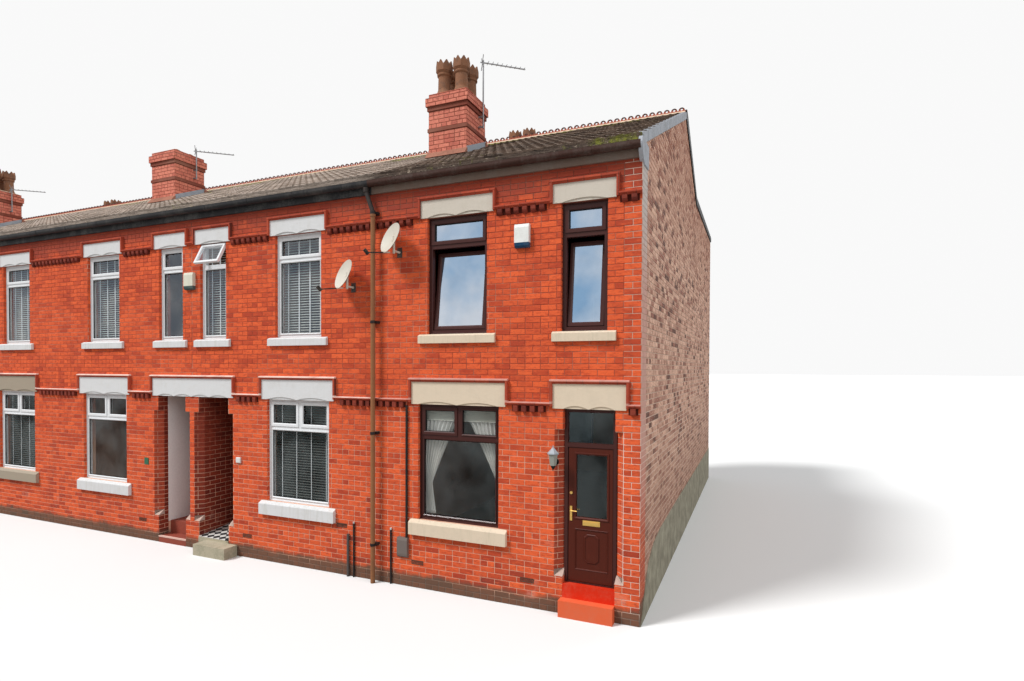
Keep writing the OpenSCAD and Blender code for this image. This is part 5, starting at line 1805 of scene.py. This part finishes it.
@dataclass
class Windows:
    """Frames, glazing, blinds and curtains of every window."""

    member: float = 0.062
    frame_y: float = 0.06
    transom0: float = 2.37
    transom1: float = 5.28
    tilt: float = math.radians(7)
    mullion: float = 0.045
    rail: float = 0.04
    vent_angle: float = math.radians(27)
    blind_y: float = 0.139
    net_y: float = 0.165
    net_columns: int = 96
    net_rows: int = 40
    slat_y: float = 0.186
    slat_half: float = 0.025
    slat_pitch: float = 0.045
    rear_panes: tuple[tuple[float, ...], ...] = (
        (ROW.rear_window, 0.39, 1.16, 2.44, ROW.depth),
        (ROW.rear_window, 0.39, 4.06, 5.44, ROW.depth),
        (ROW.house - ROW.wing_door, 0.34, 4.26, 5.44, ROW.wing_depth),
    )

    def build(self) -> None:
        """Dresses every window."""
        dress(["frames_brown"], Shop.brown)
        dress(["frames_white", "frames_rear"], Shop.white)
        dress(["lintels", "sills"], Shop.stone)
        for house in HOUSES:
            self._house(house)
        self._panes()
        self._nets()
        self._blinds()

    def lights(self, opening: Opening, ground: bool) -> list[Rect]:
        """The lights of a window.

        Args:
            opening: The window.
            ground: Whether it is on the ground floor.

        Returns:
            The top lights first, the lower one last.
        """
        x0, x1, z0, z1 = shrink(opening.rect, self.member)
        bar = self.transom0 if ground else self.transom1
        tops = [(x0, x1)]
        if ground:
            tops = [(x0, opening.x - self.mullion), (opening.x + self.mullion, x1)]
        return [*((a, b, bar + self.rail, z1) for a, b in tops), (x0, x1, z0, bar - self.rail)]

    def _house(self, house: House) -> None:
        """Adds the raised edges and gaskets of one house's frames.

        Args:
            house: The house.
        """
        trim, gasket = Form(), Form()
        lip = ((0.0, 0.002), (0.007, 0.006), (0.007, 0.02), (0.0, 0.02))
        for opening, ground in house.windows:
            trim.ring(opening.rect, self.frame_y, ((0.0, 0.0), (0.0, -0.012), (0.018, -0.012), (0.024, 0.0)))
            for number, rect in enumerate(self.lights(opening, ground)):
                tilted = house.number == 1 and not ground and number == 1
                open_top = house.number == 2 and opening == house.narrow and number == 0
                if tilted or open_top:
                    continue
                sash = number == 0 or ground and number == 1 and house.number > 1
                grow, edge = (0.02, 0.055) if sash else (0.008, 0.022)
                profile = ((0.0, 0.0), (0.0, -0.014), (edge - 0.012, -0.014), (edge, -0.004), (edge, 0.02))
                trim.ring(shrink(rect, -grow), self.frame_y, profile)
                gasket.ring(shrink(rect, edge - grow), self.frame_y, lip)
        finish = Shop.brown if house.number == 1 else Shop.white
        trim.piece(f"sash_edges_{house.number}", finish, bevel=0.002)
        gasket.piece(f"gaskets_{house.number}", Shop.rubber)

    def _panes(self) -> None:
        """Glazes the windows, clear below, and above with a brighter painted sky reflection."""
        lower, upper, sky, rear, sash = Form(), Form(), Form(), Form(), Form()
        y = self.frame_y + 0.026
        for house in HOUSES:
            for rect in self.lights(house.bay, True):
                self._pane(lower, rect, y)
            bright = sky if house.number == 1 else upper
            for opening in (house.wide, house.narrow):
                top, low = self.lights(opening, False)
                if house.number == 2 and opening == house.narrow:
                    self._vent(upper, opening, top)
                else:
                    self._pane(bright, top, y)
                if house.number == 1:
                    self._tilted(sash, sky, low)
                else:
                    self._pane(upper, low, y)
            for local, reach, z0, z1, back in self.rear_panes:
                x = house.at(local)
                self._pane(rear, (x - reach, x + reach, z0, z1), back - 0.1)
        door = HOUSES[0].door
        self._pane(lower, (door.x - 0.322, door.x + 0.322, 2.385, 2.813), 0.12)
        lower.piece("lower_panes", Shop.lower_glass, replaces=("glazing",), slot="glass")
        upper.piece("upper_panes", Shop.upper_glass)
        sky.piece("sky_panes", Shop.sky_glass)
        rear.piece("rear_panes", Shop.rear_glass)
        stands_for = {"replaces": ("tilted_sashes",), "slot": "brown_plastic"}
        sash.piece("leaning_sashes", Shop.brown, bevel=0.002, **stands_for)

    @staticmethod
    def _pane(form: Form, rect: Rect, y: float) -> None:
        """Adds one upright pane."""
        x0, x1, z0, z1 = shrink(rect, -0.008)
        form.block((x0, x1), (y, y + 0.018), (z0, z1))

    def _vent(self, glass: Form, opening: Opening, rect: Rect) -> None:
        """Hangs the open top light.

        Args:
            glass: Gathers the panes.
            opening: The window.
            rect: The light that it closes.
        """
        x0, x1, _, z1 = opening.rect
        outer = (x0 + 0.022, x1 - 0.022, rect[2] - 0.05, z1 - 0.028)
        y = self.frame_y - 0.048
        sash, start = Form(), len(glass.points)
        profile = ((0.0, 0.0), (0.006, -0.004), (0.04, -0.004), (0.052, 0.008), (0.052, 0.046), (0.0, 0.046))
        sash.ring(outer, y, profile)
        self._pane(glass, shrink(outer, 0.05), y + 0.016)
        for form, first in ((sash, 0), (glass, start)):
            form.lean(first, y + 0.04, outer[3], self.vent_angle)
        sash.piece("open_vent", Shop.white, bevel=0.002, replaces=("fanlight",), slot="white_plastic")

    def _tilted(self, sash: Form, glass: Form, rect: Rect) -> None:
        """Adds a tilted sash and its pane.

        Args:
            sash: Gathers the sashes.
            glass: Gathers the panes.
            rect: The light that the sash closes.
        """
        x0, x1, z0, z1 = rect
        foot = z0 + 0.055 * math.sin(self.tilt) + 0.0002
        outer = (x0 + 0.008, x1 - 0.008, foot, z1 - 0.03)
        y = self.frame_y + 0.02
        starts = (len(sash.points), len(glass.points))
        profile = ((0.0, 0.0), (0.005, -0.004), (0.04, -0.004), (0.062, 0.012), (0.062, 0.055), (0.0, 0.055))
        sash.ring(outer, y, profile)
        self._pane(glass, shrink(outer, 0.061), y + 0.018)
        for form, start in zip((sash, glass), starts):
            form.lean(start, y, foot, self.tilt)

    def _nets(self) -> None:
        """Hangs the tied nets of the end house."""
        x0, x1, z0, z1 = HOUSES[0].bay.rect
        top, low, tie = z1 - 0.03, z0 + 0.08, z0 + 0.56
        wide = x1 - x0
        for name, way, head, waist, foot in (("left", 1.0, 0.5, 0.1, 0.15), ("right", -1.0, 0.5, 0.03, 0.05)):
            edge = x0 + 0.02 if way > 0 else x1 - 0.02
            corners = []
            for j in range(self.net_rows + 1):
                z = top + (low - top) * j / self.net_rows
                reach = waist + (foot - waist) * (tie - z) / (tie - low)
                if z > tie:
                    reach = head + (waist - head) * ((top - z) / (top - tie))**0.9
                for i in range(self.net_columns + 1):
                    s = i / self.net_columns
                    fold = 0.018 * math.sin(s * 15 * math.pi) * (1.0 - 0.3 * math.cos(9 * s + z * 3))
                    corners.append((edge + way * reach * wide * s, self.net_y + fold, z))
            form = Form()
            form.add(corners, lattice(self.net_rows, self.net_columns))
            made = form.piece(f"net_{name}", Shop.net, smooth=True)
            area = sum(face.area for face in made.data.polygons)
            area / (top - low)
            top - low
        self._roller((x0 + 0.03, x1 - 0.03, z1 - 0.25, z1 - 0.035))
        rail = Form()
        rail.tube([(x0 + 0.01, 0.2, top - 0.01), (x1 - 0.01, 0.2, top - 0.01)], 0.009)
        rail.piece("net_rail", Shop.ivory, smooth=True)

    def _roller(self, rect: Rect) -> None:
        """Pulls a short roller blind down in front of the nets.

        Args:
            rect: Edges of the part that hangs down.
        """
        x0, x1, low, top = rect
        form, bar = Form(), Form()
        columns, rows = 40, 10
        corners = []
        for j in range(rows + 1):
            for i in range(columns + 1):
                wave = 0.0012 * math.sin(i * 0.9 + j * 0.4)
                x, z = x0 + (x1 - x0) * i / columns, top + (low - top) * j / rows
                corners.append((x, self.blind_y + wave, z))
        form.add(corners, lattice(rows, columns))
        made = form.piece("roller_blind", Shop.blind_cloth, smooth=True)
        x1 - x0
        top - low
        bar.tube([(x0, self.blind_y, low), (x1, self.blind_y, low)], 0.006)
        bar.piece("blind_bar", Shop.ivory, smooth=True)

    def _blinds(self) -> None:
        """Hangs slatted blinds behind the other fronts' windows."""
        form, dark, tapes = Form(), Form(), Form()
        for house in HOUSES[1:]:
            for opening, ground in house.windows:
                if house.number % 2 and opening != house.wide:
                    continue
                x0, x1, z0, z1 = opening.rect
                low, top = z0 + 0.05, z1 - 0.04
                self._slats(dark if ground else form, (x0 + 0.03, x1 - 0.03, low, top), 0.3 if ground else 0.5)
                count = 4 if ground or opening == house.wide else 3
                reach = 0.006 if ground else 0.012
                for i in range(count):
                    x = x0 + (x1 - x0) * (i + 0.6) / (count + 0.2)
                    tapes.block((x - reach, x + reach), (0.157, 0.16), (low, top))
        form.piece("blind_slats", Shop.slat)
        dark.piece("dark_blind_slats", Shop.dark_slat)
        tapes.piece("blind_tapes", Shop.white)

    def _slats(self, form: Form, rect: Rect, lean: float) -> None:
        """Adds the slats and the rail of one blind.

        Args:
            form: Gathers the slats.
            rect: Edges of the blind.
            lean: Angle of the slats.
        """
        x0, x1, z, top = rect
        y, dy, dz = self.slat_y, self.slat_half * math.cos(lean), self.slat_half * math.sin(lean)
        while z < top:
            near, crown, far = (y - dy, z - dz), (y, z + 0.0015), (y + dy, z + dz)
            ends = ((x0, near), (x1, near), (x1, crown), (x0, crown), (x1, far), (x0, far))
            form.add([(x, *edge) for x, edge in ends], [(0, 1, 2, 3), (3, 2, 4, 5)])
            z += self.slat_pitch
        form.block((x0, x1), (y - 0.02, y + 0.02), (top - 0.02, top + 0.02))


@dataclass
class EntryDoor:
    """The end house's panelled door with its frame and step; its lantern is dressed with the wall fittings."""

    left: float = HOUSES[0].door.x - 0.37 + 0.058 + 0.098
    right: float = HOUSES[0].door.x + 0.37 - 0.054 - 0.068
    low: float = 1.34
    top: float = 2.319 - 0.084
    face: float = 0.1

    def build(self) -> None:
        """Dresses the door and what is on it."""
        dress(["door_frame"], Shop.brown)
        dress(["front_door"], Shop.door)
        dress(["door_glass"], Shop.lower_glass)
        dress(["door_furniture"], Shop.brass)
        dress(["steps"], Shop.red_paint)
        self._mouldings()

    def _mouldings(self) -> None:
        """Plants the mouldings on the leaf."""
        form = Form()
        glazed = shrink((self.left, self.right, self.low, self.top), -0.02)
        profile = ((0.0, 0.0), (0.004, -0.01), (0.016, -0.012), (0.034, -0.002), (0.034, 0.018), (0.02, 0.018))
        form.ring(glazed, self.face, profile)
        panel = (self.left - 0.005, self.right + 0.005, 0.615, 1.19)
        profile = ((0.0, -0.004), (0.006, -0.008), (0.012, -0.004), (0.02, 0.007), (0.0, 0.007))
        form.ring(panel, self.face, profile)
        form.piece("leaf_mouldings", Shop.door, Body.DOOR, bevel=0.0015)
        self._octagon()

    def _octagon(self) -> None:
        """Rounds the edge of the long octagon on the lower panel."""
        form = Form()
        cx, cz = (self.left + self.right) / 2, 0.9225
        outline = [(-0.085, -0.138), (-0.04, -0.18), (0.04, -0.18), (0.085, -0.138)]
        outline += [(-a, -b) for a, b in outline]
        corners = []
        for grow, depth in ((0.006, 0.007), (0.0, -0.006), (-0.012, -0.008), (-0.022, -0.001)):
            for px, pz in outline:
                x = px + math.copysign(grow, px)
                corners.append((cx + x, self.face + depth, cz + pz + math.copysign(grow, pz)))
        form.add(corners, lattice(3, 8, closed=True))
        form.piece("leaf_octagon", Shop.door, Body.DOOR)


@dataclass
class Porches:
    """Floors, steps and doors of the shared porches.

    Args:
        near: Distance from the party line to a floor's near edge.
        far: Distance to its far edge.
        tile: Half the diagonal of a floor tile.
    """

    near: float = 0.181
    far: float = 0.937
    tile: float = 0.076

    def build(self) -> None:
        """Dresses the porches."""
        dress(["porch_floors"], Shop.flag)
        dress(["porch_doors", "rear_doors"], Shop.panel_door)
        dark, light, red, edge = Form(), Form(), Form(), Form()
        for line in PORCHES:
            self._diamonds(dark, light, line)
            for form, y, z in (
                (red, (0.0, 0.25), (0.12, 0.126)),
                (red, (-0.007, 0.0), (0.0, 0.104)),
                (edge, (-0.012, 0.03), (0.104, 0.128)),
                (red, (0.243, 0.25), (0.12, 0.366)),
                (red, (0.25, 1.04), (0.36, 0.366)),
            ):
                form.block((line - self.far, line - self.near), y, z)
        dark.piece("floor_dark_tiles", Shop.tile_black)
        light.piece("floor_light_tiles", Shop.tile_white)
        red.piece("floor_red_tiles", Shop.tile_red)
        edge.piece("porch_nosings", Shop.nosing)

    def _diamonds(self, dark: Form, light: Form, line: float) -> None:
        """Lays the diamond pattern of one porch's sloping floor.

        Args:
            dark: Gathers the dark ground.
            light: Gathers the light tiles.
            line: The party line through the porch's pier.
        """
        x0, x1, y0, y1 = line + self.near, line + self.far, -0.015, 1.035

        def level(y: float) -> float:
            """Height of the floor at a depth."""
            return 0.24 + 0.12 * (y + 0.02) / 1.12

        dark.run([(y0, level(y0)), (y1, level(y1)), (y1, level(y1) + 0.003), (y0, level(y0) + 0.003)], x0, x1)
        for i in range(0, int((x1 - x0) / self.tile) + 1, 2):
            for j in range(0, int((y1 - y0) / self.tile) + 1, 2):
                cx, cy, r = x0 + i * self.tile, y0 + j * self.tile, self.tile * 0.96
                spots = [(cx - r, cy), (cx, cy - r), (cx + r, cy), (cx, cy + r)]
                spots = [(min(max(a, x0), x1), min(max(b, y0), y1)) for a, b in spots]
                light.add([(a, b, level(b) + lift) for lift in (0.002, 0.006) for a, b in spots], HULL)


@dataclass
class Fittings:
    """Chimney pots, aerials, dishes and the small things on the walls."""

    def build(self) -> None:
        """Dresses the fittings."""
        dress(["chimney_pots"], Shop.pot)
        dress(["dishes"], Shop.dish)
        dress(["aerials"], Shop.silver)
        dress(["wall_fittings"], Shop.fittings)
        self._flaunching()

    def _flaunching(self) -> None:
        """Beds the pots in sloping cement."""
        form = Form()
        for x, y in STACK.places:
            corners = []
            for reach, near, far, z in ((0.42, 0.005, 0.825, STACK.top), (0.3, 0.12, 0.71, STACK.top + 0.05)):
                x0, x1, y0, y1 = x - reach, x + reach, y + near, y + far
                corners += [(x0, y0, z), (x1, y0, z), (x1, y1, z), (x0, y1, z)]
            form.add(corners, [(0, 1, 2, 3), *HULL])
        form.piece("flaunching", Shop.bedding, bevel=0.01)


def dress(nodes: Sequence[str], finish: Finish) -> None:
    """Gives CAD nodes a finish.

    Args:
        nodes: Names of the nodes.
        finish: What they are finished with.
    """
    for name in nodes:
        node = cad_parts[name]
        if not node.material_slots:
            node.data.materials.append(finish.material())
        for slot in node.material_slots:
            slot.material = finish.material()
        LOG.info("%s: %s", name, finish.name)


@dataclass
class Studio:
    """Pale floor, soft light and the photograph's camera."""

    focal: float = 575.8
    width: float = 1024.0
    centre_y: float = 377.1
    yaw: float = math.radians(-23.09)
    pitch: float = math.radians(-0.86)
    roll: float = math.radians(0.22)
    place: Point = (13.935, -12.375, 3.418)
    middle_y: float = 340.5
    sensor: float = 36.0
    glow: Colour = (0.93, 0.96, 1.0)
    glow_strength: float = 0.44
    backdrop: Colour = (0.95, 0.95, 0.95)
    floor_reach: float = 400.0

    def build(self) -> None:
        """Sets up the studio."""
        self._floor()
        self._world()
        self._sun("key", (-0.8, -0.8, 1.35), 3.1, 16.0)
        self._sun("fill", (0.9, -0.35, 0.6), 0.95, 50.0)
        self._sun("back", (0.3, 1.0, 0.9), 0.6, 40.0)
        self._camera()

    def _floor(self) -> None:
        """Lays the pale floor."""
        graph = Graph(bpy.data.materials.new("studio_floor"))
        grain = graph.noise(30.0)
        colour = graph.mix(grain * 0.1, (0.8, 0.8, 0.79), (0.76, 0.76, 0.75))
        seen = graph.node("ShaderNodeLightPath", output="Is Camera Ray")
        colour = graph.mix(seen, (0.34, 0.33, 0.31), colour)
        mesh = bpy.data.meshes.new("studio_floor")
        reach = self.floor_reach
        corners = [(a * reach, b * reach, 0) for a, b in ((-1, -1), (1, -1), (1, 1), (-1, 1))]
        mesh.from_pydata(corners, [], [(0, 1, 2, 3)])
        mesh.materials.append(graph.surface(Base_Color=colour, Roughness=0.95))
        floor = bpy.data.objects.new("studio_floor", mesh)
        bpy.context.scene.collection.objects.link(floor)

    def _world(self) -> None:
        """Fills the surroundings with even light that looks white where it is seen."""
        graph = Graph(bpy.data.worlds.new("studio_world"))
        bpy.context.scene.world = graph.owner
        rays = ("Camera", "Glossy", "Transmission")
        camera, glossy, through = (graph.node("ShaderNodeLightPath", output=f"Is {ray} Ray") for ray in rays)
        light, show = (
            graph.node("ShaderNodeBackground", None, {"Color": colour, "Strength": strength})
            for colour, strength in ((self.glow, self.glow_strength), (self.backdrop, 1.0))
        )
        inputs = {0: camera.most(glossy).most(through), 1: light, 2: show}
        graph.close(graph.node("ShaderNodeMixShader", None, inputs), "ShaderNodeOutputWorld")

    def _sun(self, name: str, towards: Point, strength: float, spread: float) -> None:
        """Adds one soft distant lamp.

        Args:
            name: The lamp's name.
            towards: Direction from the row to the lamp.
            strength: Its strength.
            spread: Its apparent size in degrees.
        """
        lamp = bpy.data.lights.new(name, "SUN")
        lamp.energy = strength
        lamp.angle = math.radians(spread)
        made = bpy.data.objects.new(name, lamp)
        made.rotation_euler = Vector(towards).to_track_quat("Z", "Y").to_euler()
        bpy.context.scene.collection.objects.link(made)

    def _camera(self) -> None:
        """Sets the camera where the photograph was taken from."""
        yaw, pitch, roll = self.yaw, self.pitch, self.roll
        ahead = Vector((math.sin(yaw) * math.cos(pitch), math.cos(yaw) * math.cos(pitch), math.sin(pitch)))
        flat = Vector((math.cos(yaw), -math.sin(yaw), 0.0))
        upright = flat.cross(ahead)
        right = flat * math.cos(roll) + upright * math.sin(roll)
        up = upright * math.cos(roll) - flat * math.sin(roll)
        lens = bpy.data.cameras.new("photo_camera")
        lens.sensor_fit = "HORIZONTAL"
        lens.sensor_width = self.sensor
        lens.lens = self.sensor * self.focal / self.width
        lens.shift_y = (self.centre_y - self.middle_y) / self.width
        lens.clip_end = 1000.0
        camera = bpy.data.objects.new("photo_camera", lens)
        turn = Matrix((right, up, -ahead)).transposed().to_4x4()
        camera.matrix_world = Matrix.Translation(self.place) @ turn
        bpy.context.scene.collection.objects.link(camera)
        bpy.context.scene.camera = camera


def main() -> None:
    """Dresses the row piece by piece."""
    logging.basicConfig(level=logging.INFO, format="%(name)s %(message)s")
    bpy.context.scene.view_settings.view_transform = "Standard"
    for part in (Studio(), Walls(), Roofs(), Windows(), EntryDoor(), Porches(), Fittings()):
        LOG.info("building %s", type(part).__name__)
        part.build()


if __name__ == "__main__":
    main()
